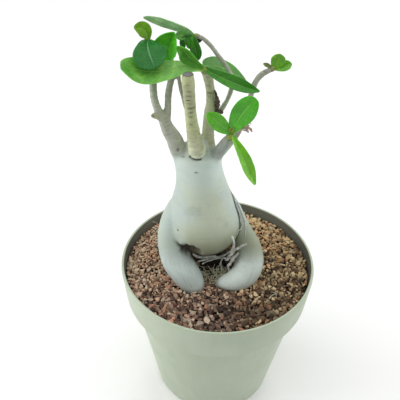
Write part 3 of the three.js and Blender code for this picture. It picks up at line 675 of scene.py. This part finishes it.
# ---------------------------------------------------------------- wiry roots
# Thin old roots that hang in the crevice beside the right leg and cross the hollow between the
# legs, with a tuft of dead root fibres on the gravel below.
WIRY_ROOTS = [  # strands across the hollow
    [(-14.2, -9, 127.4, 0.7), (-8.5, -8, 128.5, 0.8), (-2.8, -7, 129.7, 0.7), (2.7, -8, 132.8, 0.75),
     (7.4, -10, 137.7, 0.8), (10.6, -11, 143, 0.8)],
    [(-11, -9, 125.6, 0.5), (-4.2, -8, 128, 0.55), (1.4, -8, 130, 0.5), (7, -9.5, 132.2, 0.6),
     (12.6, -9.6, 133.6, 0.7)],
    [(8.7, -16.4, 157.6, 0.8), (9.9, -15.6, 151.3, 1), (9.7, -14, 143, 1.15), (8.1, -12.4, 136.3, 1.1),
     (5.6, -9.6, 130.4, 0.9)],
    [(13.6, -10, 137.8, 1), (9.4, -12, 132.5, 1), (7.5, -12.5, 126, 0.9), (8.5, -13, 120.6, 0.9),
     (11.6, -13.6, 117.4, 1)],
    [(8.6, -13, 141.4, 0.8), (13.9, -13.2, 145.2, 0.9), (18.5, -12.2, 148.2, 0.8)],
    [(4.3, -6, 129.5, 0.6), (2.4, -7, 123.5, 0.6), (3.3, -9, 117.4, 0.5), (1.3, -11, 112.2, 0.5)],
    [(-20.2, -14.4, 150.6, 1), (-18.6, -15, 151.2, 1.5), (-16.8, -14.8, 150.2, 1.1)],
    [(-17, -9, 134, 1), (-13, -9.6, 131.6, 1.1), (-7, -9.4, 132.6, 0.9), (-2, -9.8, 133.4, 0.6)],
]
CREVICE_ROOTS = [  # strands that lie on the bark beside the right leg
    [(10.4, 2.6, 174.6), (14, -1.6, 167), (15.6, -5.4, 158.6), (14.8, -9, 152)],
    [(12.2, 3, 173), (16, 0, 165.6), (18.4, -3.4, 157.4), (18, -7, 150)],
]
ROOT_DARK, ROOT_PALE = (0.28, 0.285, 0.24, 1), (0.62, 0.66, 0.60, 1)
TUFT_STRAW = (0.52, 0.50, 0.32, 1)
TUFT_FIBRES = 80
STRAWS = [  # bits of dry straw on the gravel
    [(36, -31, 114.2, 0.22), (38.6, -28.6, 115.6, 0.25), (41.4, -26.6, 115.2, 0.2), (43, -23, 114.4, 0.15)],
    [(38.4, -24.6, 114.4, 0.18), (40.6, -27, 115.8, 0.22), (41.2, -30.4, 114.6, 0.15)],
    [(-54, 45.4, 116.6, 0.2), (-50.6, 44.4, 118, 0.25), (-47, 44.6, 117, 0.15)],
]


def old_root():
    look = finish("old_root", 0.8)
    where = places(look)
    pattern = cloud(look, where, 320, 5, 0.7)
    colour = mixed(look, ramp(look, pattern, 0.36, 0.6), ROOT_DARK, ROOT_PALE)
    _, _, z = split(look, where)
    low = times(look, ramp(look, z, 0.1175, 0.1215, 1, 0), 0.8)
    colour = mixed(look, low, colour, TUFT_STRAW)
    return dressed(look, colour, None, pattern, 0.5, 0.0004)


roots_shape = bmesh.new()
draw = random.Random(11)
noise.seed_set(11)  # noise_vector, here and in the dry bits, follows the clock without a seed
for knots in WIRY_ROOTS:
    line = [
        (spot + noise.noise_vector(spot * 170) * 0.0012, radius * (0.9 + 0.5 * noise.noise(spot * 330)))
        for spot, radius in stations(knots, 34)
    ]
    limb(roots_shape, line, 9)
for knots in CREVICE_ROOTS:
    line = []
    for spot, _ in stations(knots, 30):
        touch, way, _, _ = plant_skin.find_nearest(spot + noise.noise_vector(spot * 200) * 0.0006)
        line.append((touch + way * 0.0004, (0.28 + 0.10 * noise.noise(spot * 300)) * MM))
    limb(roots_shape, line, 7)
for _ in range(TUFT_FIBRES):
    foot = Vector((draw.uniform(-11, 8), draw.uniform(-15, -5), draw.uniform(112.5, 114.5)))
    lean = Vector((draw.uniform(-6, 6), draw.uniform(-4, 5), draw.uniform(0.4, 8.0) * draw.random()))
    bend = Vector((draw.uniform(-3, 3), draw.uniform(-3, 3), draw.uniform(0, 2.6)))
    thick = draw.uniform(0.15, 0.3)
    knots = [(*foot, thick), (*(foot + lean * 0.5 + bend), thick), (*(foot + lean), thick * 0.6)]
    limb(roots_shape, stations(knots, 9), 5)
for knots in STRAWS:
    limb(roots_shape, stations(knots, 14), 5)
roots = made("wiry_roots", roots_shape, old_root())
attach(roots, "root")

# ---------------------------------------------------------------- gravel
# Crushed red-brown lava stone, angular grains of 2 to 5 mm, coarser towards the front, heaped
# loosely on a bed of the same stone, painted near black as the shade in the gaps between the
# grains, that fills the pot to about 8 mm below its rim.
BED_OUTLINE = [
    (0, 3.3, 0), (43, 3.3, 0), (59.4, 94.3, 0), (64.7, 96.5, 0), (66.4, 113.3, 0), (60, 112.6, 0),
    (50, 111.4, 0), (38, 111.1, 0), (24, 111.1, 0), (0, 111.1, 0),
]
GRAVEL_EDGE = 66.3
GRAIN_LAYERS = ((111.8, 9000, 0.70), (113.0, 20000, 0.71))  # level, tries and closeness
GRAIN_SHARES = (0.6, 0.7, 0.8, 0.9, 1, 1, 1.15, 1.3, 1.5)  # of the mean size
GRAIN_CELL, GRAIN_BATCH = 6, 80
GRAIN_KNOCK = 0.115  # how far a corner is knocked about, as a share of the grain
SHADED_LEVEL = 112.7  # a grain that lies lower is in the shade of those above
STONE_DULL, STONE_VEIN = (0.6, 0.55, 0.52, 1), (0.42, 0.33, 0.27, 1)
BED_SHADE_TONE = (0.02, 0.013, 0.01, 1)
STONE_TONES = [  # colour and share
    ((0.19, 0.12, 0.08), 22), ((0.34, 0.235, 0.155), 30), ((0.50, 0.39, 0.275), 20),
    ((0.38, 0.215, 0.135), 9), ((0.30, 0.245, 0.18), 6), ((0.09, 0.058, 0.042), 12),
    ((0.60, 0.50, 0.36), 5),
]
STONES = [tone for tone, share in STONE_TONES for _ in range(share)]


def stone():
    look = finish("crushed_stone", 0.9, Specular_IOR_Level=0.3)
    where = places(look)
    tone = layer(look, "tone", "Color")
    grit = cloud(look, where, 1400, 5, 0.7)
    veins = cloud(look, where, 420, 3, 0.6)
    worn = mixed(look, 1.0, tone, STONE_DULL, "MULTIPLY")
    colour = mixed(look, ramp(look, grit, 0.35, 0.7), worn, tone)
    colour = layered(look, colour, (veins, 0.55, 0.75, 0.3, STONE_VEIN))
    return dressed(look, colour, None, plus(look, grit, times(look, veins, 0.6)), 0.7, 0.0004)


def grain_size(x, y):
    """The mean size of the grains at a place, in millimetres."""
    finer = 0.5 * below(x, -50, -15) * near(y, -45, 0)
    return 2.9 + 1.0 * below(y, -50, -20) - finer + 0.2 * near(x, 10, 40)


def free_of_plant(x, y, z, room):
    spot = Vector((x, y, z)) * MM
    touch, way, _, away = plant_skin.find_nearest(spot)
    return away > room * MM and (spot - touch).dot(way) > 0


def dished(x, y):
    """How much higher the gravel lies towards the rim, in millimetres."""
    return 1.9 * near(math.hypot(x, y), 44, 66)


def grain_tone_and_shade(draw, x, y, z):
    """A stone's colour with painted shade and light: darker in front, lower down and in the hollow between
    the legs, and lighter or darker to the sides.
    """
    front = below(y, -45, 5)
    hollow = near(y, -14, -9) * below(y, 10, 18) * below(abs(x + 1), 10, 15)
    # painted light and shade to the sides: lighter on the left and at the far side, darker on the right
    aside = 1 + 0.35 * below(x, -35, -5) - 0.45 * near(x, 20, 42) * below(abs(y + 2), 14, 34)
    aside *= 1 + 0.3 * near(y, 12, 40) + 0.35 * below(y, -40, -24) * below(x, -22, 0)
    shade = draw.uniform(0.45, 1.65) * (2.5 - 1.75 * front) * aside * (1 - 0.93 * hollow)
    if z < SHADED_LEVEL + dished(x, y):
        shade *= 0.5
    red, green, blue = draw.choice(STONES)
    shade = min(shade, 0.8 / red)
    cool = blue * shade * (1.04 - 0.2 * near(x, 0, 30))
    return red * shade, green * shade * (1.04 - 0.06 * front), cool, 1


gravel_shape = turned(BED_OUTLINE, 96)
tone_layer = gravel_shape.verts.layers.float_color.new("tone")
for vert in gravel_shape.verts:
    vert[tone_layer] = BED_SHADE_TONE
    if vert.co.z > 0.1105:
        vert.co.z += 0.0004 * noise.noise(vert.co * 200)
draw = random.Random(5)
grains = []
for level, tries, tight in GRAIN_LAYERS:
    cells = {}
    for _ in range(tries):
        reach = GRAVEL_EDGE * math.sqrt(draw.random())
        angle = TURN * draw.random()
        x, y = reach * math.cos(angle), reach * math.sin(angle)
        size = grain_size(x, y) * draw.choice(GRAIN_SHARES)
        if reach > GRAVEL_EDGE - 0.36 * size:
            continue
        column, row = int(x // GRAIN_CELL), int(y // GRAIN_CELL)
        close = (
            other
            for i in (-1, 0, 1)
            for j in (-1, 0, 1)
            for other in cells.get((column + i, row + j), ())
        )
        if any(math.hypot(x - a, y - b) < tight * (size + c) / 2 for a, b, c in close):
            continue
        z = level + dished(x, y) + 0.5 * noise.noise(Vector((x, y, 0)) * 0.05) + draw.uniform(-0.3, 0.45)
        if not free_of_plant(x, y, z, 0.3 * size):
            continue
        cells.setdefault((column, row), []).append((x, y, size))
        grains.append((x, y, z, size))
for first in range(0, len(grains), GRAIN_BATCH):
    batch = bmesh.new()
    batch_tone = batch.verts.layers.float_color.new("tone")
    for x, y, z, size in grains[first : first + GRAIN_BATCH]:
        spin = Matrix.Rotation(draw.uniform(0, TURN), 4, "Z")
        spin = spin @ Matrix.Rotation(draw.uniform(-0.7, 0.7), 4, "X")
        shares = draw.uniform(0.9, 1.3), draw.uniform(0.6, 1.0), draw.uniform(0.5, 0.85)
        place = Matrix.Translation(Vector((x, y, z)) * MM) @ spin @ Matrix.Diagonal((*shares, 1))
        fresh = bmesh.ops.create_icosphere(batch, subdivisions=1, radius=size * MM / 2, matrix=place)
        tone = grain_tone_and_shade(draw, x, y, z)
        for vert in fresh["verts"]:
            knock = Vector((draw.gauss(0, 1), draw.gauss(0, 1), draw.gauss(0, 1)))
            vert.co += knock * size * MM * GRAIN_KNOCK
            vert[batch_tone] = tone
    brought(gravel_shape, batch)
gravel = made("gravel_grains", gravel_shape, stone(), False)
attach(gravel, "root")
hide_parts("gravel")

# ---------------------------------------------------------------- leafy shoots
# Fleshy glossy leaves that stand in a whorl at the end of each branch. A blade is obovate, about
# 0.6 mm thick, folded up a little about a thick pale midrib, with side veins that curve forward.
LEAF_THICKNESS = 0.6
WAVES, RIB_STEPS = 2, 120
MIDRIB = (0.30, 0.44, 0.14)
BUD_BROWN, BUD_GREEN = Vector((0.24, 0.24, 0.14)), Vector((0.22, 0.30, 0.04))
LEAF_LAYERS = ("tint", "edge", "rib_tint")
LEAF_GLOSS = {"leaf_green": 0.34, "leaf_blue_green": 0.22, "leaf_young": 0.34}
LEAF_DEEP_AND_SHADE, LEAF_SHEEN_TINT = (0.62, 0.74, 0.6, 1), (1.7, 1.35, 1.5, 1)  # times the leaf's own tint
# Each leaf: its midrib, the way that it faces, its width, where along it is widest, its fold in
# degrees, how blunt it is, its share of width at the stalk, its tint, and any marks of its own.
LEAF_KINDS = {  # node, slot, branch, length of the bud, leaves
    "leaves_centre": ("shoot_centre", "leaf_green", "centre", 3.2, [
        ([(-13.2, 3.2, 271.5), (-23.1, 3, 271.9), (-33.6, 2.4, 270.2), (-42.8, 0.8, 269.6),
          (-51.2, -1.4, 271.7), (-57.3, -3.2, 274.2), (-61, -4.6, 276)],
         (0.1, -0.58, 1), 18.6, 0.7, 7, 0.72, 0.26, (0.14, 0.44, 0.055),
         {"tip": 0.25, "wave": 0.9, "base_tint": (0.26, 0.6, 0.13)}),
        ([(-12.9, 2, 271.9), (-7.9, 0, 269.9), (-0.2, -1.6, 267), (6.9, -2.8, 264.5),
          (14, -3.6, 262.3), (19.9, -4, 261.1)],
         (0.1, -0.75, 0.6), 8.8, 0.55, 24, 0.85, 0.3, (0.035, 0.235, 0.008), {"tip": 0.05}),
        ([(-12.9, 4.4, 271.7), (-10.9, 8, 271), (-6.1, 12, 268.8), (0.8, 16, 264.2),
          (7.9, 18.6, 258.6), (13.8, 20, 254)],
         (0.4, -0.45, 0.85), 12, 0.4, 14, 0.75, 0.3, (0.06, 0.28, 0.014), {"veins": 2.2}),
        ([(-13.5, 2.6, 272.2), (-17.3, 1.6, 275.3), (-21.9, 0.8, 280.1), (-25.1, 0.8, 283.7),
          (-29.1, 1.4, 285.3)],
         (-0.08, -0.97, -0.2), 10.8, 0.62, 38, 0.75, 0.2, (0.06, 0.29, 0.01), {}),
    ]),
    "leaves_left": ("shoot_left", "leaf_blue_green", "left_outer", 3.2, [
        ([(-46.2, 15.6, 282.6), (-46.4, 10.6, 283.2), (-45.2, 4, 280.8), (-42.8, -1, 276.8),
          (-41, -3.6, 274)],
         (-0.1, -0.5, 1), 20, 0.66, 9, 0.62, 0.14, (0.014, 0.165, 0.018),
         {"tip": 0.2, "wave": 0.6, "veins": 1.4, "rib_tint": (0.16, 0.36, 0.17)}),
        ([(-46.3, 15.8, 281.3), (-46.4, 14.6, 285), (-47.3, 13.4, 288.4), (-49.8, 12.4, 291.2),
          (-54, 11.6, 292.3)],
         (0.5, -0.8, 0.25), 9.2, 0.62, 10, 0.85, 0.12, (0.17, 0.4, 0.012),
         {"edge": (0.24, 0.05, 0.025)}),
    ]),
    "leaves_left_inner": ("shoot_left_inner", "leaf_green", "left_inner", 3.2, [
        ([(-32, 14.4, 266.7), (-34.2, 15, 271.8), (-34.9, 15, 276.9), (-33.1, 14.2, 283.6),
          (-30.7, 13, 289.1)],
         (-0.34, -0.94, -0.04), 20, 0.6, 42, 0.7, 0.16, (0.09, 0.53, 0.012),
         {"rib_tint": (0.05, 0.2, 0.05)}),
    ]),
    "leaves_back": ("shoot_back", "leaf_blue_green", "arching", 2.4, [
        ([(-19.6, 8, 289.6), (-22.5, 8, 291.4), (-28.5, 8.8, 293.1), (-35.9, 10, 295),
          (-42.8, 11, 296.8), (-48.3, 12, 298)],
         (0.1, 0.9, 0.4), 6.8, 0.52, 8, 0.7, 0.25, (0.24, 0.46, 0.19),
         {"rib_tint": (0.16, 0.25, 0.14)}),
        ([(-20.7, 7.8, 289.2), (-23.3, 6.4, 290), (-25.5, 5, 290.6), (-27.7, 4, 291.1),
          (-29.9, 3.4, 291.6)],
         (0.3, -0.9, 0.4), 5.6, 0.66, 8, 0.55, 0.2, (0.08, 0.28, 0.04), {}),
        ([(-20.7, 7.8, 289.6), (-24.1, 5.6, 288.8), (-25.8, 4.4, 286.9), (-24.8, 3.8, 282.7)],
         (0.07, -0.87, 0.48), 4.6, 0.6, 30, 0.8, 0.2, (0.016, 0.12, 0.012), {}),
        ([(-20.5, 7.8, 289.5), (-21.8, 6, 288.7), (-21.8, 5, 286.1), (-21.5, 4.4, 282.8)],
         (0.03, -0.89, 0.45), 4.4, 0.6, 14, 0.6, 0.3, (0.05, 0.29, 0.008), {}),
        ([(-19.9, 7.8, 289.8), (-19.8, 6.2, 288), (-18.5, 5.2, 283), (-17.7, 5, 279),
          (-18.4, 5, 274.9)],
         (0.06, -0.98, 0.21), 6.8, 0.58, 18, 0.7, 0.25, (0.035, 0.2, 0.014), {}),
        ([(-19.3, 8.6, 289.7), (-18, 10.4, 287.7), (-16.8, 11.6, 285.8), (-15.6, 12.4, 283.4)],
         (0.49, -0.85, -0.22), 5, 0.6, 16, 0.8, 0.25, (0.014, 0.022, 0.007),
         {"rib_tint": (0.02, 0.03, 0.01)}),
    ]),
    "leaves_right_low": ("shoot_right_low", "leaf_green", "right_low", 3.2, [
        ([(4.2, -11, 236.3), (-0.5, -13, 241.3), (-6.1, -15, 247.7), (-10.8, -16, 252.7)],
         (0.25, -0.85, 0.4), 9.8, 0.6, 14, 0.65, 0.2, (0.09, 0.44, 0.006), {}),
        ([(4.3, -11, 236.5), (6.2, -12.4, 243), (9.8, -13.8, 251.4), (13.7, -14.8, 258.1),
          (17.4, -15, 262)],
         (-0.05, -0.9, 0.35), 14.2, 0.64, 10, 0.56, 0.16, (0.065, 0.42, 0.008),
         {"tip": 0.2, "wave": 0.5}),
        ([(4.4, -11, 235.6), (7.1, -14, 231.4), (11.1, -16, 223.5), (15.8, -16.6, 212.8),
          (20.8, -17, 202.5)],
         (0.6, -0.7, 0.2), 9.5, 0.55, 26, 0.9, 0.2, (0.16, 0.5, 0.012), {}),
        ([(3.7, -11, 235.4), (3.2, -12, 238.5), (2.6, -12.4, 241)],
         (0.2, -1, 0.1), 1.5, 0.5, 20, 0.8, 0.5, (0.22, 0.3, 0.03), {}),
        ([(4.6, -11, 235.4), (5, -12, 238.7), (4.8, -12.4, 241.2)],
         (-0.2, -1, 0.1), 1.5, 0.5, 20, 0.8, 0.5, (0.24, 0.28, 0.03), {}),
    ]),
    "leaves_far_right": ("shoot_far_right", "leaf_young", "far_right", 3.2, [
        ([(28.3, 12, 268), (29.5, 11.6, 270.6), (30.8, 11.2, 274.2), (31.5, 11, 277.9)],
         (-0.1, -0.9, 0.4), 8.8, 0.6, 8, 0.5, 0.2, (0.13, 0.4, 0.012), {}),
        ([(28.4, 12, 267.8), (31.4, 11.2, 269.2), (35, 10.4, 270.7), (38.8, 9.6, 272.3)],
         (0, -0.8, 0.75), 6.6, 0.62, 10, 0.55, 0.2, (0.14, 0.42, 0.015), {}),
        ([(28, 12.4, 267.8), (25.6, 12.6, 269), (21.8, 12.8, 270.6)],
         (0.2, -0.7, 0.7), 3, 0.6, 12, 0.7, 0.35, (0.16, 0.21, 0.05), {}),
    ]),
}


def leaf_look(name, gloss):
    look = finish(name, 0.3, Specular_IOR_Level=gloss, Coat_Weight=gloss / 3, Coat_Roughness=0.14)
    where = places(look)
    tint, edge, line = (layer(look, word, "Color") for word in LEAF_LAYERS)
    across, along, _ = split(look, put(look, "UVMap", {}, uv_map="blade"))
    aside = sums(look, "ABSOLUTE", sums(look, "SUBTRACT", across, 0.5))
    # the side veins leave the midrib and curve forward to the margin
    lean = sums(look, "POWER", times(look, aside, 2.0), 1.4)
    row = times(look, sums(look, "SUBTRACT", along, times(look, lean, 0.2)), 15.0)
    row = plus(look, row, times(look, cloud(look, where, 120, 2), 0.8))
    saw = sums(look, "FRACT", row)
    comb = sums(look, "ABSOLUTE", sums(look, "SUBTRACT", saw, 0.5))
    side = times(look, ramp(look, comb, 0.0, 0.14, 1, 0), ramp(look, aside, 0.3, 0.48, 1, 0))
    side = times(look, side, ramp(look, cloud(look, where, 200, 2), 0.4, 0.6))
    cells = {"Vector": where, "Scale": 620}
    net = put(look, "TexVoronoi", cells, "Distance", feature="DISTANCE_TO_EDGE")
    net = ramp(look, net, 0.0, 0.12, 1, 0)
    rib = times(look, ramp(look, aside, 0.01, 0.03, 1, 0), ramp(look, along, 0.55, 1.0, 0.95, 0.25))
    deep_and_shade = mixed(look, 1.0, tint, LEAF_DEEP_AND_SHADE, "MULTIPLY")
    pale = mixed(look, 1.0, tint, LEAF_SHEEN_TINT, "MULTIPLY")
    body = mixed(look, ramp(look, cloud(look, where, 70, 4, 0.6), 0.36, 0.64), deep_and_shade, tint)
    # painted sheen and painted shade: light and dark streaks between the side veins, where the swelling and
    # sinking flesh catches the light or lies in shade, and pale spots of painted sheen
    other = times(look, layer(look, "tint"), 40.0)
    slant = put(look, "CombineXYZ", {0: row, 1: times(look, across, 4.0), 2: other})
    streak = cloud(look, slant, 1.1, 3, 0.6)
    body = layered(
        look, body, (streak, 0.46, 0.3, 0.55, deep_and_shade), (streak, 0.54, 0.72, 0.55, pale),
        (cloud(look, where, 150, 4, 0.6), 0.5, 0.7, 0.7, pale),
    )
    vein = mixed(look, 0.45, body, line)
    colour = mixed(look, times(look, net, 0.3), body, vein)
    colour = mixed(look, times(look, side, 0.8), colour, vein)
    # painted shade: darker green on each side of the midrib, where the groove beside it lies in shade
    groove = times(look, ramp(look, aside, 0.03, 0.12, 1, 0), 0.35)
    colour = mixed(look, groove, colour, deep_and_shade)
    colour = layered(look, colour, (aside, 0.465, 0.5, 0.7, edge))
    colour = mixed(look, rib, colour, line)
    height = plus(
        look, times(look, side, -0.6), times(look, net, -0.25),
        times(look, cloud(look, where, 260, 3), 0.9), times(look, streak, 1.2),
    )
    rough = ramp(look, cloud(look, where, 150, 3), 0.3, 0.7, 0.24, 0.42)
    return dressed(look, colour, rough, height, 0.4, 0.0005)


def painted(shape, verts, *colours):
    """Gives vertices the colours of the blade, its margin and its midrib."""
    for word, colour in zip(LEAF_LAYERS, colours):
        coat = shape.verts.layers.float_color[word]
        for vert in verts:
            vert[coat] = (*colour, 1)


def blade(
    shape, rib, face, width, widest, fold, blunt, stalk, tint,
    tip=0.1, wave=0, veins=1.0, edge=None, rib_tint=None, base_tint=None,
):
    """Adds one leaf: a closed blade, and the stalk that runs on under it as its midrib."""
    fold = math.radians(fold)
    skew = math.log(0.5) / math.log(widest)
    looks = Vector(face).normalized()
    rows = max(int((Vector(rib[-1]) - Vector(rib[0])).length * 0.8), 12)
    line = stations(rib, RIB_STEPS)
    ways = headings(line)
    part = bmesh.new()
    part.loops.layers.uv.new("blade")
    grid = bmesh.ops.create_grid(part, x_segments=16, y_segments=rows, size=1, calc_uvs=True)
    for vert in grid["verts"]:
        u, v = vert.co.x, (vert.co.y + 1) / 2
        i = min(int(v * RIB_STEPS), RIB_STEPS - 1)
        share = v * RIB_STEPS - i
        middle = line[i][0].lerp(line[i + 1][0], share)
        way = ways[i].lerp(ways[i + 1], share).normalized()
        normal = (looks - way * looks.dot(way)).normalized()
        sideways = way.cross(normal)
        swell = max(math.sin(math.pi * v**skew), 0) ** blunt
        end = stalk + (tip - stalk) * v
        half = width / 2 * (end + (1 - end) * swell)
        ripple = wave * math.sin(WAVES * TURN * v + (0 if u > 0 else 1.3)) * u * u * swell
        groove = -0.25 * math.exp(-((u * half / 0.7) ** 2)) * (1 - 0.6 * v)
        comb = abs(((v - 0.2 * abs(u) ** 1.4) * 15) % 1 - 0.5)
        vein = 0.10 * veins * (1 - near(comb, 0.0, 0.25))
        groove -= vein * (1 - near(abs(u), 0.7, 1)) * near(abs(u), 0, 0.15)
        lift = abs(u) * half * math.sin(fold) + ripple + groove
        spot = Vector((u * half, v * 40, width))
        lift += (0.5 * noise.noise(spot * 0.14) + 0.16 * noise.noise(spot * 0.5)) * abs(u) ** 0.6
        aside = sideways * u * half * math.cos(fold)
        vert.co = middle + (aside + normal * (lift + LEAF_THICKNESS / 2)) * MM
    bmesh.ops.recalc_face_normals(part, faces=part.faces)
    bmesh.ops.solidify(part, geom=part.faces, thickness=LEAF_THICKNESS * MM)
    edge = edge or [c * 1.5 + 0.02 for c in tint]
    rib_tint = rib_tint or [0.45 * m + 0.9 * t for m, t in zip(MIDRIB, tint)]
    # a leaf may be paler towards its base: partly its own colour, partly painted light where a leaf above
    # shades it
    base, chord = Vector(base_tint or tint), line[-1][0] - line[0][0]
    for vert in brought(shape, part):
        share = (vert.co - line[0][0]).dot(chord) / chord.length_squared
        painted(shape, [vert], base.lerp(Vector(tint), near(share, 0.36, 0.74)), edge, rib_tint)
    ribs = []
    for i in range(0, 101, 5):
        spot, way = line[i][0], ways[i]
        normal = (looks - way * looks.dot(way)).normalized()
        radius = 0.75 * min(width / 11, 1.25) * (1 - i / 118)
        ribs.append((spot - normal * (0.25 + radius * 0.35) * MM * near(i, 0, 15), radius * MM))
    under = [0.5 * a + 0.5 * b for a, b in zip(rib_tint, tint)]
    painted(shape, limb(shape, ribs, 8), under, under, under)


leaf_looks = {name: leaf_look(name, gloss) for name, gloss in LEAF_GLOSS.items()}
for name, (node, slot, branch, length, leaves) in LEAF_KINDS.items():
    shoot_shape = bmesh.new()
    shoot_shape.loops.layers.uv.new("blade")
    for word in LEAF_LAYERS:
        shoot_shape.verts.layers.float_color.new(word)
    for *sizes, marks in leaves:
        blade(shoot_shape, *sizes, **marks)
    # the bud that the leaves stand in, with the scales of the next ones
    *top, radius = LIMBS[branch][-1]
    end = Vector(top)
    heading = (end - Vector(LIMBS[branch][-2][:3])).normalized()
    bud = [
        (*(end - heading * 0.3), radius * 1.02), (*(end + heading * length * 0.4), radius * 1.08),
        (*(end + heading * length * 0.8), radius * 0.8), (*(end + heading * length * 1.15), 0.4),
    ]
    for vert in limb(shoot_shape, stations(bud, 10), 14):
        green = near((vert.co / MM - end).dot(heading), 0.5, 2.2)
        colour = BUD_BROWN.lerp(BUD_GREEN, green)
        painted(shoot_shape, [vert], colour, colour, colour)
    shoot = made(name, shoot_shape, leaf_looks[slot])
    round_off = shoot.modifiers.new("round_off", "SUBSURF")
    round_off.levels = round_off.render_levels = 1
    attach(shoot, "root")
    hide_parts(node)

# ---------------------------------------------------------------- dry bits
# The stump of a dry flower stalk on the far right branch, with its shrunken bracts, and a dark
# papery bud scale that lies along the centre branch.
STALK = [
    [(8.8, 6.6, 225.4, 0.8), (10.6, 5.4, 228.4, 0.7), (12.4, 4.4, 231, 0.9)],
    [(7.4, 5.2, 230.6, 0.4), (10.2, 4.6, 231.6, 0.9), (13.4, 4.2, 232.4, 1.1), (15.6, 4, 232.6, 0.5)],
    [(11.4, 4.2, 230.6, 0.6), (14.4, 4, 231.2, 1.2), (16.6, 4, 230.2, 0.9), (17.8, 4, 228.2, 0.4)],
    [(12, 3.8, 230.4, 0.5), (14.6, 3, 229.6, 0.9), (15.4, 2.8, 228.4, 0.4)],
    [(13, 4.6, 232, 0.5), (15.4, 4.8, 233.6, 0.7), (17, 4.8, 233.4, 0.3)],
]
STALK_TONES = ((0.24, 0.15, 0.115, 1), (0.62, 0.50, 0.43, 1))
SCALE_TONES = ((0.022, 0.014, 0.01, 1), (0.11, 0.075, 0.05, 1))
SCALE = [
    [(-4.8, 3.4, 243.4, 1), (-4.4, 2.7, 247.4, 1.6), (-4.9, 2.5, 252, 1.3), (-6.4, 2.4, 257.9, 0.45)],
    [(-5.2, 3.6, 242.2, 1.2), (-3.2, 3.6, 243, 1.3), (-1.6, 4, 241.8, 1)],
]


def husk(name, low, high):
    look = finish(name, 0.85)
    where = places(look)
    pattern = cloud(look, where, 420, 5, 0.7)
    colour = mixed(look, ramp(look, pattern, 0.36, 0.64), low, high)
    return dressed(look, colour, None, pattern, 0.6, 0.0005)


def shrivelled(knot_lists, sides, pull):
    """Dry strands that are bent and pinched along their length."""
    shape = bmesh.new()
    for knots in knot_lists:
        line = [
            (spot + noise.noise_vector(spot * 480) * pull, radius * (0.95 + 0.6 * noise.noise(spot * 700)))
            for spot, radius in stations(knots, 20)
        ]
        limb(shape, line, sides)
    return shape


stalk = made("dry_stalk", shrivelled(STALK, 9, 0.0006), husk("dry_stalk", *STALK_TONES))
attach(stalk, "root")
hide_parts("dry_flower_stalk")

scale = made("dry_scale", shrivelled(SCALE, 12, 0.00015), husk("dry_scale", *SCALE_TONES))
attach(scale, "root")
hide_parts("dry_bud_scale")

# ---------------------------------------------------------------- studio
# A plain pale floor under soft light, and the camera at the photograph's angle.
SOFTBOXES = {  # place, size and power
    "softbox_left": ((-1.2, 0.1, 0.5), 1.2, 13.0),
    "softbox_right": ((1.2, 0.25, 0.5), 1.2, 9.0),
    "softbox_top": ((-0.15, -0.3, 1.6), 2.2, 19.0),
    "softbox_back": ((0.4, 1.7, 1.3), 1.2, 9.0),
}
LIT_SPOT = Vector((0, 0, 0.16))
PAPER = ((0.93, 0.93, 0.93, 1), (0.95, 0.95, 0.95, 1))
EYE, LENS = (-0.01374, -0.32831, 0.43530), 55.8
PITCH, ROLL = math.radians(38.294), math.radians(1.312)

floor_shape = bmesh.new()
bmesh.ops.create_grid(floor_shape, x_segments=1, y_segments=1, size=4)
floor_look = finish("floor", 0.9)
paper = cloud(floor_look, places(floor_look), 3, 2)
dressed(floor_look, mixed(floor_look, paper, *PAPER))
floor = made("floor", floor_shape, floor_look)

world = bpy.data.worlds.new("studio")
world.use_nodes = True
sky = world.node_tree.nodes["Background"].inputs
sky["Color"].default_value = (1, 1, 1, 1)
sky["Strength"].default_value = 0.28
bpy.context.scene.world = world
for name, (spot, size, power) in SOFTBOXES.items():
    lamp = bpy.data.lights.new(name, "AREA")
    lamp.size = size
    lamp.energy = power
    light = bpy.data.objects.new(name, lamp)
    light.location = spot
    light.rotation_euler = (LIT_SPOT - Vector(spot)).to_track_quat("-Z", "Y").to_euler()
    bpy.context.collection.objects.link(light)

forward = Vector((0, math.cos(PITCH), -math.sin(PITCH)))
up = Vector((0, math.sin(PITCH), math.cos(PITCH)))
level = Vector((1, 0, 0))
camera_x = level * math.cos(ROLL) + up * math.sin(ROLL)
camera_y = up * math.cos(ROLL) - level * math.sin(ROLL)
view = bpy.data.cameras.new("camera")
view.sensor_width = 36
view.lens = LENS
camera = bpy.data.objects.new("camera", view)
bpy.context.collection.objects.link(camera)
camera.matrix_world = Matrix.Translation(EYE) @ Matrix(
    (camera_x, camera_y, -forward)
).transposed().to_4x4()
bpy.context.scene.camera = camera
bpy.context.scene.view_settings.view_transform = "Standard"
